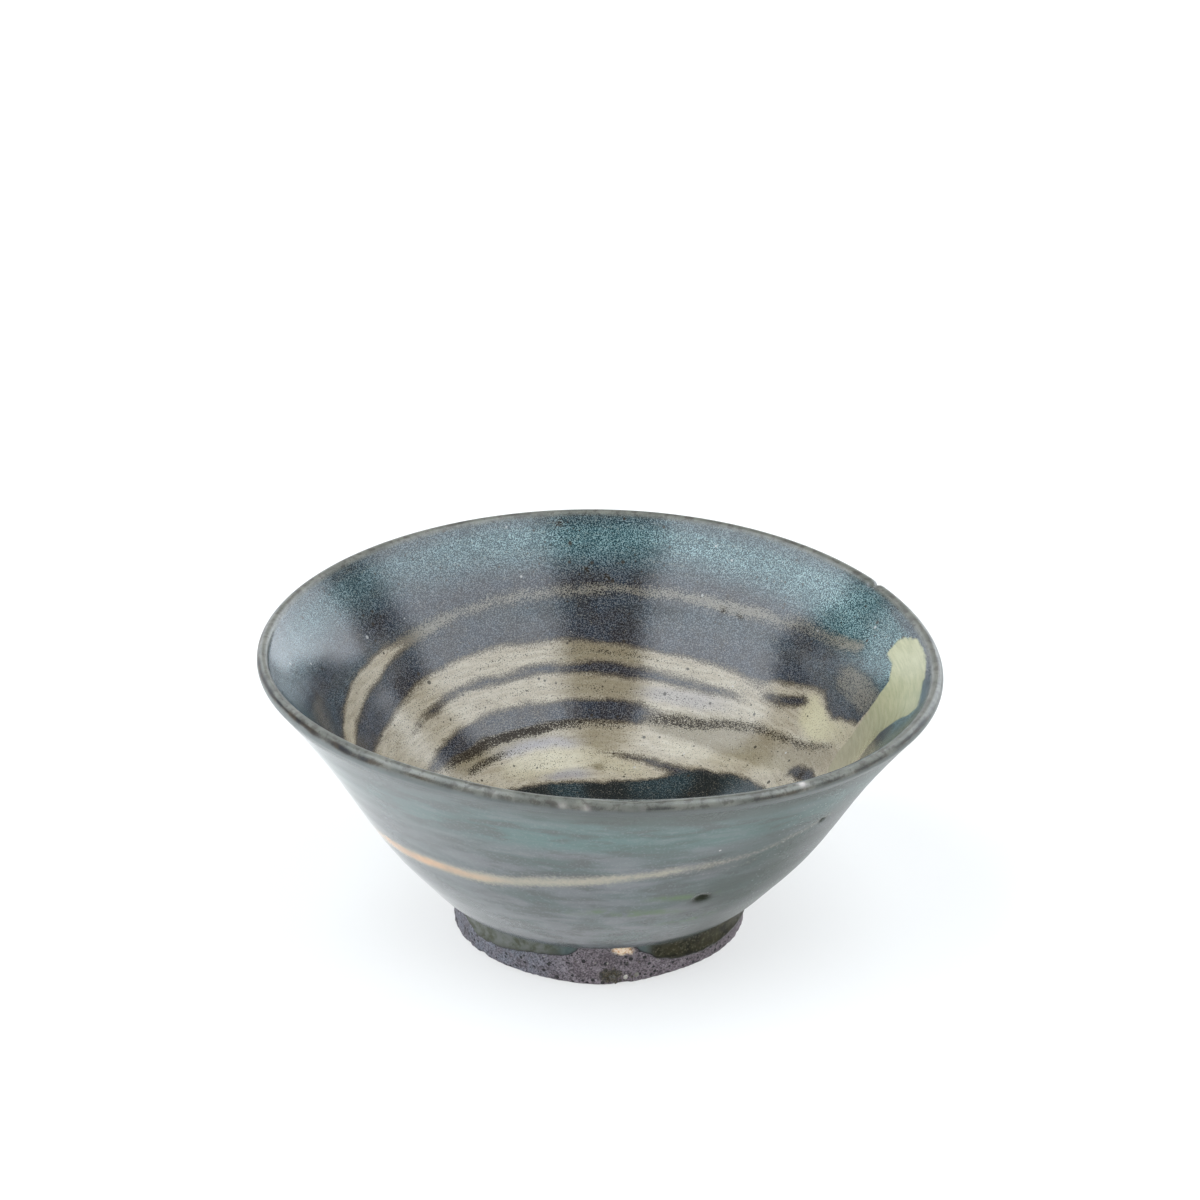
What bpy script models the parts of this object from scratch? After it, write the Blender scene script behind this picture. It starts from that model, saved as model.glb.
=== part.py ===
"""A small hand-thrown tea cup of marbled dark stoneware, in metres with +Z up.

The origin is the centre of the foot's flat underside. The front of the cup faces -Y, and
angles run anticlockwise from +X as seen from above. The cup is made as a potter makes it:
a thrown bowl, a turned foot ring under it, streaks of pale clay, and a coat of glaze inside
and out. A wall is drawn as a curve in radius and height, from the lip down.
"""

import math
from collections import namedtuple

import bmesh
import bpy
import numpy as np
from mathutils import Vector
from mathutils.geometry import interpolate_bezier

MM = 0.001

# Overall sizes of the glazed cup
RIM_RADIUS = 39.1 * MM
CUP_HEIGHT = 34.9 * MM
FOOT_TOP_RADIUS = 17.1 * MM
FOOT_BOTTOM_RADIUS = 16.8 * MM
FOOT_HEIGHT = 5.2 * MM

# Glazed outer wall: its slope at the lip and at the foot, and how far each slope carries
FLARE_SLOPE = math.radians(52.3)
FLARE_REACH = 19.2 * MM
BELLY_SLOPE = math.radians(39.3)
BELLY_REACH = 15.0 * MM

# Glazed inner wall and floor
INNER_SLOPE = math.radians(55.0)
INNER_REACH = 18.0 * MM
FLOOR_HEIGHT = 8.2 * MM
FLOOR_REACH = 21.5 * MM
LIP_RADIUS = 1.0 * MM

# Foot ring and the base of the bowl inside it
RING_WIDTH = 4.6 * MM
RING_DRAFT = 0.4 * MM
FOOT_BEVEL = 0.6 * MM
RECESS_DEPTH = 3.2 * MM
RECESS_DOME = 0.4 * MM
BOSS_BEVEL = 0.4 * MM

# Glaze coats: they thin out towards the lip, and the outer one runs down over the foot
GLAZE_THICKNESS = 0.4 * MM
GLAZE_LIP_THICKNESS = 0.2 * MM
GLAZE_TAPER = 6.0 * MM
RUN_DEPTH = 3.2 * MM
RUN_SWELL = 0.35 * MM
RUNS_AROUND = 5
RUN_TURN = math.radians(40.0)
RUN_LEAST = 0.5 * MM
BARE_ANGLE = math.radians(-88.0)
BARE_HALF_ANGLE = math.radians(13.0)
BARE_SQUARENESS = 4

# Room between pieces that touch
SEAT_GAP = 0.3 * MM

# Wobble from the wheel: the rim leans to +X and rises and falls twice round
LEAN = 1.23 * MM
WAVE = 0.66 * MM
WAVE_ANGLE = math.radians(-30.0)

# Streaks of pale clay: angles in degrees, places as shares of the wall's length from the lip
Streak = namedtuple("Streak", "name start_angle end_angle start end bow width")
INSIDE_STREAKS = (
    Streak("upper_streak", 175.0, 24.0, 0.290, 0.124, -0.016, 1.3 * MM),
    Streak("middle_streak", 170.0, 40.0, 0.405, 0.360, -0.041, 2.2 * MM),
    Streak("lower_streak", 162.0, 45.0, 0.474, 0.439, -0.033, 2.2 * MM),
    Streak("floor_streak", 146.0, 88.0, 0.646, 0.621, -0.025, 3.2 * MM),
    Streak("floor_patch", 84.0, 10.0, 0.571, 0.445, 0.041, 4.6 * MM),
    Streak("rim_patch", 14.0, -16.0, 0.072, 0.300, 0.0, 4.5 * MM),
)
OUTSIDE_STREAKS = (
    Streak("outside_streak", -155.0, -45.0, 0.553, 0.308, 0.014, 1.3 * MM),
)
STREAK_TIP = 0.15 * MM
STREAK_SQUARENESS = 6
BLADE_REACH = 1.0 * MM
BLADE_STEPS = 28

# Fineness of the surfaces
SEGMENTS = 48
OUTER_STEPS = 12
INNER_STEPS = 13
LIP_STEPS = 7
WELD = 0.001 * MM
SHARP_ANGLE = math.radians(35.0)

# Colours as linear red, green and blue, with roughness
Finish = namedtuple("Finish", "colour roughness")
DARK_CLAY = Finish((0.075, 0.062, 0.058), 0.55)
FOOT_CLAY = Finish((0.105, 0.085, 0.095), 0.85)
INSIDE_GLAZE = Finish((0.045, 0.075, 0.095), 0.16)
OUTSIDE_GLAZE = Finish((0.095, 0.145, 0.150), 0.20)
PALE_CLAY = Finish((0.420, 0.370, 0.245), 0.25)
WARM_CLAY = Finish((0.520, 0.340, 0.190), 0.30)

Wall = namedtuple("Wall", "points along into_clay")


def clear_scene():
    for thing in list(bpy.data.objects):
        bpy.data.objects.remove(thing)


def lip_centre():
    return Vector((RIM_RADIUS - LIP_RADIUS, CUP_HEIGHT - LIP_RADIUS))


def slope_vector(slope):
    return Vector((math.cos(slope), math.sin(slope)))


def lip_point(angle):
    """A point on the round lip's cross-section, at an angle from straight outwards."""
    return lip_centre() + LIP_RADIUS * slope_vector(angle)


def foot_radius(height):
    return FOOT_BOTTOM_RADIUS + (FOOT_TOP_RADIUS - FOOT_BOTTOM_RADIUS) * height / FOOT_HEIGHT


def ring_hole(height):
    """Inner radius of the foot ring, which opens a little towards the ground."""
    return FOOT_TOP_RADIUS - RING_WIDTH + RING_DRAFT * (1 - height / FOOT_HEIGHT)


def base_height():
    """The underside of the bowl, where it sits on the foot ring."""
    return FOOT_HEIGHT + SEAT_GAP


def skirt_lining(height):
    """Inner radius of the outer glaze where it runs over the foot."""
    return foot_radius(height) + SEAT_GAP


def make_wall(start, start_handle, end_handle, end, steps, side):
    """A wall's glazed surface as points, their distance along it, and the way into the clay."""
    curve = interpolate_bezier(start, start_handle, end_handle, end, steps + 1)
    points = np.array(curve)
    lengths = np.linalg.norm(np.diff(points, axis=0), axis=1)
    along = np.concatenate(([0.0], np.cumsum(lengths)))
    ways = np.gradient(points, axis=0)
    ways[0] = start_handle - start
    ways[-1] = end - end_handle
    ways /= np.linalg.norm(ways, axis=1)[:, None]
    into_clay = side * np.stack((ways[:, 1], -ways[:, 0]), axis=1)
    return Wall(points, along, into_clay)


def outer_wall():
    start = lip_point(FLARE_SLOPE - math.pi / 2)
    foot_corner = Vector((skirt_lining(base_height()) + GLAZE_THICKNESS, base_height()))
    start_handle = start - FLARE_REACH * slope_vector(FLARE_SLOPE)
    end_handle = foot_corner + BELLY_REACH * slope_vector(BELLY_SLOPE)
    return make_wall(start, start_handle, end_handle, foot_corner, OUTER_STEPS, 1)


def inner_wall():
    start = lip_point(INNER_SLOPE + math.pi / 2)
    floor_centre = Vector((0.0, FLOOR_HEIGHT))
    start_handle = start - INNER_REACH * slope_vector(INNER_SLOPE)
    end_handle = Vector((FLOOR_REACH, FLOOR_HEIGHT))
    return make_wall(start, start_handle, end_handle, floor_centre, INNER_STEPS, -1)


def glaze_thickness(along):
    return np.interp(along, (0.0, GLAZE_TAPER), (GLAZE_LIP_THICKNESS, GLAZE_THICKNESS))


def wall_at(wall, along, depth):
    """Points at these distances along a wall, this deep below its glazed surface."""
    surface = np.stack([np.interp(along, wall.along, axis) for axis in wall.points.T], axis=-1)
    inwards = np.stack([np.interp(along, wall.along, axis) for axis in wall.into_clay.T], axis=-1)
    return surface + inwards * np.asarray(depth)[..., None]


def clay_side(wall):
    """The clay under a coat of glaze."""
    return wall_at(wall, wall.along, glaze_thickness(wall.along) + SEAT_GAP)


def glaze_sides(wall):
    """A coat's outer and inner side. It starts just below the bare lip."""
    along = np.maximum(wall.along, SEAT_GAP)
    thickness = glaze_thickness(along)
    return wall_at(wall, along, np.zeros(len(along))), wall_at(wall, along, thickness)


def hand_thrown(point):
    """Moves a point of the true-turned cup to where the wobbly one has it."""
    angle = math.atan2(point.y, point.x)
    rise = max(0.0, (point.z - FOOT_HEIGHT) / (CUP_HEIGHT - FOOT_HEIGHT))
    drop = rise * LEAN * math.cos(angle) + rise**3 * WAVE * math.cos(2 * angle - WAVE_ANGLE)
    return Vector((point.x, point.y, point.z - drop))


def run_depth(angle):
    """How far the outer glaze runs down over the foot at an angle."""
    turn = math.remainder(angle - BARE_ANGLE, math.tau) / BARE_HALF_ANGLE
    bare = math.exp(-abs(turn) ** BARE_SQUARENESS)
    run = RUN_DEPTH + RUN_SWELL * math.sin(RUNS_AROUND * angle + RUN_TURN)
    return run + (RUN_LEAST - run) * bare


def glaze_run(point):
    """Draws the outer coat's skirt down to its run at this angle, along the foot's side."""
    below = base_height() - point.z
    if below <= 0:
        return point
    angle = math.atan2(point.y, point.x)
    height = base_height() - below * run_depth(angle) / RUN_DEPTH
    radius = math.hypot(point.x, point.y) + foot_radius(height) - foot_radius(point.z)
    return Vector((radius * math.cos(angle), radius * math.sin(angle), height))


def finish_of(name, finish):
    material = bpy.data.materials.new(name)
    material.use_nodes = True
    shader = material.node_tree.nodes["Principled BSDF"]
    shader.inputs["Base Color"].default_value = (*finish.colour, 1.0)
    shader.inputs["Roughness"].default_value = finish.roughness
    shader.inputs["Metallic"].default_value = 0.0
    return material


def add_object(name, shape, parent):
    mesh = bpy.data.meshes.new(name)
    bmesh.ops.recalc_face_normals(shape, faces=shape.faces)
    shape.to_mesh(mesh)
    shape.free()
    thing = bpy.data.objects.new(name, mesh)
    thing.parent = parent
    bpy.context.scene.collection.objects.link(thing)
    return thing


def dress(thing, finish):
    thing.data.materials.clear()
    thing.data.materials.append(finish_of(thing.name, finish))
    thing.data.shade_smooth()
    thing.data.set_sharp_from_angle(angle=SHARP_ANGLE)


def turned(outline, is_ring, shapers):
    """Spins an outline of radius and height round the axis, then shapes each point."""
    shape = bmesh.new()
    corners = [shape.verts.new((radius, 0.0, height)) for radius, height in outline]
    following = corners[1:] + corners[:1] if is_ring else corners[1:]
    edges = [shape.edges.new(pair) for pair in zip(corners, following)]
    bmesh.ops.spin(
        shape,
        geom=corners + edges,
        cent=(0.0, 0.0, 0.0),
        axis=(0.0, 0.0, 1.0),
        angle=math.tau,
        steps=SEGMENTS,
        use_merge=True,
    )
    bmesh.ops.remove_doubles(shape, verts=shape.verts, dist=WELD)
    for shaper in shapers:
        for corner in shape.verts:
            corner.co = shaper(corner.co)
    return shape


def make_bowl(parent, outer, inner):
    """The thrown bowl: bare round lip, walls let in for the glaze, and a boss under the base."""
    first_angle = INNER_SLOPE + math.pi / 2
    last_angle = FLARE_SLOPE - math.pi / 2
    lip = [lip_point(angle) for angle in np.linspace(first_angle, last_angle, LIP_STEPS)]
    clay_outside = clay_side(outer)
    edge, above = clay_outside[-1], clay_outside[-2]
    reach = (base_height() - edge[1]) / (edge[1] - above[1])
    seat_edge = edge + (edge - above) * reach
    boss_radius = ring_hole(FOOT_HEIGHT) - SEAT_GAP
    base = (
        seat_edge,
        (boss_radius, base_height()),
        (boss_radius, RECESS_DEPTH + BOSS_BEVEL),
        (boss_radius - BOSS_BEVEL, RECESS_DEPTH),
        (0.0, RECESS_DEPTH + RECESS_DOME),
    )
    outline = [*clay_side(inner)[::-1], *lip, *clay_outside, *base]
    bowl = add_object("bowl", turned(outline, False, [hand_thrown]), parent)
    dress(bowl, DARK_CLAY)


def make_foot_ring(parent):
    outline = (
        (FOOT_TOP_RADIUS, FOOT_HEIGHT),
        (foot_radius(FOOT_BEVEL), FOOT_BEVEL),
        (FOOT_BOTTOM_RADIUS - FOOT_BEVEL, 0.0),
        (ring_hole(0.0) + FOOT_BEVEL, 0.0),
        (ring_hole(FOOT_BEVEL), FOOT_BEVEL),
        (ring_hole(FOOT_HEIGHT), FOOT_HEIGHT),
    )
    ring = add_object("foot_ring", turned(outline, True, []), parent)
    dress(ring, FOOT_CLAY)


def make_inside_coat(parent, inner):
    surface, back = glaze_sides(inner)
    outline = [*surface[::-1], *back]
    return add_object("inside_glaze", turned(outline, False, [hand_thrown]), parent)


def make_outside_coat(parent, outer):
    """The outer coat: down the wall, round the corner and over the foot as a skirt of runs."""
    surface, back = glaze_sides(outer)
    lowest = base_height() - RUN_DEPTH
    bead_top = lowest + GLAZE_THICKNESS
    bead_back = lowest + GLAZE_THICKNESS / 2
    skirt = (
        (skirt_lining(bead_top) + GLAZE_THICKNESS, bead_top),
        (skirt_lining(lowest) + GLAZE_THICKNESS / 2, lowest),
        (skirt_lining(bead_back), bead_back),
        (skirt_lining(base_height()), base_height()),
    )
    outline = [*surface, *skirt, *back[::-1]]
    return add_object("outside_glaze", turned(outline, True, [glaze_run, hand_thrown]), parent)


def streak_centre(wall, streak, share):
    """Distance down the wall to the middle of a streak, a share of the way along it."""
    place = streak.start + (streak.end - streak.start) * share
    place += streak.bow * 4 * share * (1 - share)
    return place * wall.along[-1]


def streak_half(streak, share):
    """Half the width of a streak, which narrows to a tip at both ends."""
    fullness = math.sqrt(1 - abs(2 * share - 1) ** STREAK_SQUARENESS)
    return STREAK_TIP + (streak.width / 2 - STREAK_TIP) * fullness


def streak_slant(wall, streak, share):
    """How much longer a cut down the wall is than one square across the streak."""
    bend = streak.bow * 4 * (1 - 2 * share)
    fall = (streak.end - streak.start + bend) * wall.along[-1]
    radius = wall_at(wall, streak_centre(wall, streak, share), 0.0)[0]
    sweep = math.radians(streak.end_angle - streak.start_angle) * radius
    return math.hypot(1.0, fall / sweep)


def streak_section(wall, streak, share, margin):
    """Four corners across a streak, a share of the way along it, through the coat of glaze."""
    half = (streak_half(streak, share) + margin) * streak_slant(wall, streak, share)
    along = np.array((-half, half, half, -half)) + streak_centre(wall, streak, share)
    through = GLAZE_THICKNESS + BLADE_REACH
    depth = np.array((-BLADE_REACH, -BLADE_REACH, through, through))
    return wall_at(wall, along, depth)


def streak_ends(wall, streak, margin):
    """A streak's first and last angle, with a margin beyond each tip."""
    sense = math.copysign(1.0, streak.end_angle - streak.start_angle)
    radii = [wall_at(wall, streak_centre(wall, streak, share), 0.0)[0] for share in (0.0, 1.0)]
    first_angle = math.radians(streak.start_angle) - sense * margin / radii[0]
    last_angle = math.radians(streak.end_angle) + sense * margin / radii[1]
    return first_angle, last_angle


def make_blade(parent, wall, streak, margin):
    """A solid of the streak's outline that passes right through the coat of glaze."""
    shape = bmesh.new()
    sections = []
    first_angle, last_angle = streak_ends(wall, streak, margin)
    for share in np.linspace(0.0, 1.0, BLADE_STEPS + 1):
        angle = first_angle + (last_angle - first_angle) * share
        section = []
        for radius, height in streak_section(wall, streak, share, margin):
            place = Vector((radius * math.cos(angle), radius * math.sin(angle), height))
            section.append(shape.verts.new(hand_thrown(place)))
        sections.append(section)
    for section, following in zip(sections, sections[1:]):
        for corner in range(len(section)):
            before = corner - 1
            shape.faces.new((section[before], section[corner], following[corner], following[before]))
    shape.faces.new(sections[0])
    shape.faces.new(sections[-1])
    blade = add_object(streak.name + "_blade", shape, parent)
    blade.hide_render = True
    blade.display_type = "WIRE"
    return blade


def cut(thing, blade, operation):
    boolean = thing.modifiers.new(blade.name, "BOOLEAN")
    boolean.object = blade
    boolean.operation = operation
    boolean.solver = "EXACT"


def let_in_streaks(parent, coat, wall, streaks, finish):
    """Makes each streak out of the coat's own thickness, and a window for it in the coat."""
    plain_coat = coat.data.copy()
    for streak in streaks:
        inlay = bpy.data.objects.new(streak.name, plain_coat.copy())
        inlay.parent = parent
        bpy.context.scene.collection.objects.link(inlay)
        cut(inlay, make_blade(parent, wall, streak, 0.0), "INTERSECT")
        dress(inlay, finish)
        cut(coat, make_blade(parent, wall, streak, SEAT_GAP), "DIFFERENCE")


def main():
    clear_scene()
    cup = bpy.data.objects.new("tea_cup", None)
    bpy.context.scene.collection.objects.link(cup)
    outer, inner = outer_wall(), inner_wall()
    make_bowl(cup, outer, inner)
    make_foot_ring(cup)
    inside = make_inside_coat(cup, inner)
    let_in_streaks(cup, inside, inner, INSIDE_STREAKS, PALE_CLAY)
    dress(inside, INSIDE_GLAZE)
    outside = make_outside_coat(cup, outer)
    let_in_streaks(cup, outside, outer, OUTSIDE_STREAKS, WARM_CLAY)
    dress(outside, OUTSIDE_GLAZE)


main()
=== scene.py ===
"""The looks of the tea cup: glaze, marbled clay and a gritty foot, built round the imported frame.

Lengths are in millimetres and become metres where a mesh is made. Angles are in degrees and
run anticlockwise from +X as seen from above. The front of the cup faces -Y, at -90 degrees.
A place on a wall is its angle and its distance down the wall from the lip. In an array, a row
goes round the cup and a column goes down the wall.
"""

import math
from collections import namedtuple

import bpy
import numpy as np
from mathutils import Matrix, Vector, noise


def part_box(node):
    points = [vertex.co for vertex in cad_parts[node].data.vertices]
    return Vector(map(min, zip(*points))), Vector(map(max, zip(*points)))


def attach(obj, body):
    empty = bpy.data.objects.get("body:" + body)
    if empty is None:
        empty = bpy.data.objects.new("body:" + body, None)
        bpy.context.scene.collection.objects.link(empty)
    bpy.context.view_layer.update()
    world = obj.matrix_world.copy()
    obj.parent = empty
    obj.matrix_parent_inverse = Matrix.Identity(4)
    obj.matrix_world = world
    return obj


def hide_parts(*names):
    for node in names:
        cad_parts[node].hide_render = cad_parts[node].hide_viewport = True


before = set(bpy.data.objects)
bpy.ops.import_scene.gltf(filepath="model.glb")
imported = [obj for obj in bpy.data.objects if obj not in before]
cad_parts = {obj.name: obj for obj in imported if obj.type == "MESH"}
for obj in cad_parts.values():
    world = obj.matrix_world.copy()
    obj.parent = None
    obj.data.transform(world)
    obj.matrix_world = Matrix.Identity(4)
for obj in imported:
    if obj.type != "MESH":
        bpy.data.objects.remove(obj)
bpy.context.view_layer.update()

MM = 0.001
_, foot_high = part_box("foot_ring")

# Sizes as the solid model has them, with the foot's read from its box in the frame
RIM_RADIUS = 39.1
CUP_HEIGHT = 34.9
FOOT_HEIGHT = foot_high[2] / MM
FOOT_TOP_RADIUS = foot_high[0] / MM
FOOT_FLARE = 0.3
FLARE_SLOPE = 52.3
FLARE_REACH = 19.2
BELLY_SLOPE = 39.3
BELLY_REACH = 15.0
INNER_SLOPE = 55.0
INNER_REACH = 18.0
FLOOR_HEIGHT = 8.2
FLOOR_REACH = 21.5
LIP_RADIUS = 1.0
LIP_CENTRE = np.array((RIM_RADIUS - LIP_RADIUS, CUP_HEIGHT - LIP_RADIUS))
CORNER_HEIGHT = 5.5
CORNER_OUT = 0.7
RING_WIDTH = 4.6
RING_HOLE = FOOT_TOP_RADIUS - RING_WIDTH
RECESS_DEPTH = 3.2
LEAN = 1.23
WAVE = 0.66
WAVE_ANGLE = -30.0

# Fineness of the surfaces
COLUMNS = 640
FOOT_COLUMNS = 480
BODY_COLUMNS = 160
SWEEP_COLUMNS = 96


def turns_round(count):
    """The angles of evenly spaced columns, as one row."""
    return np.linspace(-180.0, 180.0, count, endpoint=False)[None, :]


AROUND = turns_round(COLUMNS)


# Curves and surfaces

def smooth_step(low, high, value):
    share = np.clip((value - low) / (high - low), 0.0, 1.0)
    return share * share * (3 - 2 * share)


def bump_at(value, centre, reach):
    """A bell-shaped bump that is 1 at the centre."""
    return np.exp(-(((value - centre) / reach) ** 2))


def soft_stretch(angles, start, full, fading, end):
    """1 over a stretch of angles, with soft ends."""
    return smooth_step(start, full, angles) * smooth_step(end, fading, angles)


def turned_from(angle, angles):
    """Angles counted from another one, between -180 and 180."""
    return (angles - angle + 180) % 360 - 180


def slope_vector(slope):
    return np.array((math.cos(math.radians(slope)), math.sin(math.radians(slope))))


def lip_point(angle):
    return LIP_CENTRE + LIP_RADIUS * slope_vector(angle)


def foot_radius(height):
    return FOOT_TOP_RADIUS - FOOT_FLARE * (1 - height / FOOT_HEIGHT)


def foot_swell(angles):
    """How far the foot stands out on the left, where it is a little out of round."""
    return 0.3 * bump_at(np.abs(angles), 180.0, 45.0)


def bezier(start, start_handle, end_handle, end, count):
    share = np.linspace(0.0, 1.0, count)[:, None]
    rest = 1 - share
    return (
        rest**3 * start
        + 3 * rest**2 * share * start_handle
        + 3 * rest * share**2 * end_handle
        + share**3 * end
    )


def inner_curve(count):
    start = lip_point(INNER_SLOPE + 90)
    handle = start - INNER_REACH * slope_vector(INNER_SLOPE)
    floor_handle = np.array((FLOOR_REACH, FLOOR_HEIGHT))
    floor_middle = np.array((0.0, FLOOR_HEIGHT))
    return bezier(start, handle, floor_handle, floor_middle, count)


def outer_curve(count):
    start = lip_point(FLARE_SLOPE - 90)
    corner = np.array((foot_radius(CORNER_HEIGHT) + CORNER_OUT, CORNER_HEIGHT))
    handle = start - FLARE_REACH * slope_vector(FLARE_SLOPE)
    return bezier(start, handle, corner + BELLY_REACH * slope_vector(BELLY_SLOPE), corner, count)


def lip_curve(count):
    angles = np.linspace(FLARE_SLOPE - 90, INNER_SLOPE + 90, count)
    return np.array([lip_point(angle) for angle in angles])


def section(radii, heights):
    """Points of a turned section."""
    return np.stack(np.broadcast_arrays(radii, heights), axis=1)


def column(*stretches):
    """Distances down a wall, or shares of the way, in one column."""
    return np.concatenate(stretches)[:, None]


Outline = namedtuple("Outline", "points along outward")


def measured(points, start_along, side):
    """An outline with the distance along it and the direction away from the clay at each point."""
    steps = np.linalg.norm(np.diff(points, axis=0), axis=1)
    along = start_along + np.concatenate(([0.0], np.cumsum(steps)))
    ways = np.gradient(points, along, axis=0)
    ways /= np.linalg.norm(ways, axis=1, keepdims=True)
    return Outline(points, along[:, None], side * np.stack((-ways[:, 1], ways[:, 0]), axis=1))


def resampled(outline, along):
    """The outline at other distances along it."""
    def read(values):
        return np.hstack([np.interp(along, outline.along[:, 0], axis) for axis in values.T])

    outward = read(outline.outward)
    outward /= np.linalg.norm(outward, axis=1, keepdims=True)
    return Outline(read(outline.points), along, outward)


def spun(radii, heights, angles):
    """Places in space at the given radii, heights and angles."""
    turn = np.radians(angles)
    return np.stack(np.broadcast_arrays(radii * np.cos(turn), radii * np.sin(turn), heights), axis=-1)


def raised(outline, height):
    """The outline turned into a wall and moved out by a height at each place."""
    radii = outline.points[:, :1] + outline.outward[:, :1] * height
    heights = outline.points[:, 1:] + outline.outward[:, 1:] * height
    return spun(radii, heights, AROUND)


def hand_thrown(places):
    """Moves points of the true-turned cup to where the wobbly one has them."""
    angle = np.arctan2(places[..., 1], places[..., 0])
    rise = np.maximum(0.0, (places[..., 2] - FOOT_HEIGHT) / (CUP_HEIGHT - FOOT_HEIGHT))
    drop = rise * LEAN * np.cos(angle)
    drop += rise**3 * WAVE * np.cos(2 * angle - math.radians(WAVE_ANGLE))
    moved = places.copy()
    moved[..., 2] -= drop
    return moved


def lumps(places, size, seed=0.0):
    """Smooth chance swellings between about -1 and 1, of a given size."""
    flat = places.reshape(-1, 3) / size + seed
    values = [noise.noise(Vector(place)) for place in flat]
    return np.array(values).reshape(places.shape[:-1])


def throwing_rings(flow, rows, pitch, height, seed):
    """The spiral ridges that fingers leave in a wall on the wheel."""
    spiral = rows + AROUND / 360 * pitch
    return height * np.sin(spiral / pitch * math.tau) * (0.6 + 0.4 * lumps(flow, 6.0, seed))


# Meshes

def grid_faces(count, columns, is_ring):
    """Quads over rows of points that go all the way round. A ring joins its last row to its first."""
    index = np.arange(count * columns).reshape(count, columns)
    beside = np.roll(index, -1, axis=1)
    quads = np.stack((index, np.roll(index, -1, axis=0), np.roll(beside, -1, axis=0), beside), axis=-1)
    return quads[:count if is_ring else count - 1].reshape(-1, 4).tolist()


def add_object(name, places, faces):
    """A smooth object in the scene, from places in millimetres."""
    mesh = bpy.data.meshes.new(name)
    mesh.from_pydata((np.asarray(places) * MM).tolist(), [], faces)
    mesh.shade_smooth()
    mesh.validate()
    thing = bpy.data.objects.new(name, mesh)
    bpy.context.scene.collection.objects.link(thing)
    return thing


def add_channel(mesh, name, values):
    """Gives each point of a mesh a number, or a place, that its material reads by name."""
    kind, field = ("FLOAT_VECTOR", "vector") if values.shape[1] == 3 else ("FLOAT", "value")
    data = mesh.attributes.new(name, kind, "POINT").data
    data.foreach_set(field, values.astype(np.float32).ravel())


def spread(paint, shape):
    """Paint channels, each repeated where it has to be to cover the whole wall."""
    return {name: np.broadcast_to(values, shape) for name, values in paint.items()}


def make_skin(name, rows, is_ring, paint):
    """A closed mesh over rows of places. A ring joins its last row to its first, and others close
    at a single point at both ends. Hidden rows past the end of the paint repeat its last row."""
    count, columns = rows.shape[:2]
    size = count * columns
    places = rows.reshape(-1, 3)
    faces = grid_faces(count, columns, is_ring)
    if not is_ring:
        places = np.vstack((places, rows[0].mean(axis=0), rows[-1].mean(axis=0)))
        circle = [(here, (here + 1) % columns) for here in range(columns)]
        last = size - columns
        faces += [(size, here, beside) for here, beside in circle]
        faces += [(size + 1, last + beside, last + here) for here, beside in circle]
    skin = add_object(name, places, faces)
    for channel_name, values in paint.items():
        hidden = np.repeat(values[-1:], count - len(values), axis=0)
        flat = np.concatenate((values, hidden)).reshape(size, -1)
        if not is_ring:
            flat = np.vstack((flat, flat[:columns].mean(axis=0), flat[-columns:].mean(axis=0)))
        add_channel(skin.data, channel_name, flat)
    return skin


# Painting: marks on a wall, as ribbons and as soft round spots

def ribbon(along, points, softness):
    """How strongly a ribbon through points of angle, place, width and strength covers each place."""
    angles, places, widths, strengths = np.array(sorted(points)).T
    middle = (angles[0] + angles[-1]) / 2
    turns = turned_from(middle, AROUND) + middle
    strength = np.interp(turns, angles, strengths, left=0.0, right=0.0)
    distance = np.abs(along - np.interp(turns, angles, places))
    edge = np.maximum(np.interp(turns, angles, widths) / 2, 0.05)
    return strength * (1 - smooth_step(edge - softness, edge + softness, distance))


def strongest(along, ribbons, softness):
    """The strongest of several ribbons at each place."""
    return np.maximum.reduce([ribbon(along, points, softness) for points in ribbons])


def spots(along, radius, marks):
    """The strongest of several marks of angle, place, size round, size down and strength."""
    cover = 0.0
    for angle, place, size_round, size_down, strength in marks:
        sideways = np.radians(turned_from(angle, AROUND)) * radius / size_round
        downward = (along - place) / size_down
        cover = np.maximum(cover, strength * np.exp(-(sideways**2 + downward**2)))
    return cover


def edge_line(points):
    """One distance for each column, through points of angle and distance."""
    angles, distances = np.array(points).T
    return np.interp(AROUND, angles, distances, period=360)


# The marbling inside, from the lip down: where pale clay begins, and the marks on it
PALE_TOP = (
    (175, 18.5), (165, 18.5), (155, 17.9), (147, 17.1), (138, 16.2), (130, 15.5), (120, 15.1),
    (108, 15.2), (95, 15.5), (86, 15.8), (79, 16.1), (68, 16.6), (55, 16.7), (46, 16.6), (40, 15.7),
    (35, 14.9), (29, 14), (25, 13.8), (21, 14.9), (17, 15.2), (12, 14.2), (8, 13.3), (5.6, 12.8),
    (4.2, 8), (-8, 8), (-12, 10.5), (-17, 14), (-30, 18), (-60, 21.5), (-95, 20), (-130, 19),
    (-160, 17.5), (-172, 18),
)
UPPER_STREAK = (
    (330, 25, 1.2, 0), (300, 23.5, 1.6, 0.5), (260, 20.5, 1.9, 0.7), (220, 17.4, 2, 0.8),
    (185, 14.7, 2.3, 1), (165, 13.2, 2.3, 1), (155, 12.3, 2.1, 1), (145, 11.5, 1.8, 0.95),
    (135, 10.8, 1.5, 0.85), (125, 10.2, 1.3, 0.7), (110, 9.6, 1.2, 0.6), (95, 9.2, 1.2, 0.65),
    (85, 8.9, 1.2, 0.65), (75, 8.9, 1.4, 0.65), (65, 9.1, 1.6, 0.75), (57, 9.1, 1.7, 0.75),
    (48, 8.7, 1.6, 0.6), (40, 8.1, 1.7, 0.5), (33, 7.8, 1.7, 0.5), (27, 7.2, 1.6, 0.75),
    (23, 6.6, 1.5, 0.75), (20, 6.2, 1, 0),
)
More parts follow.
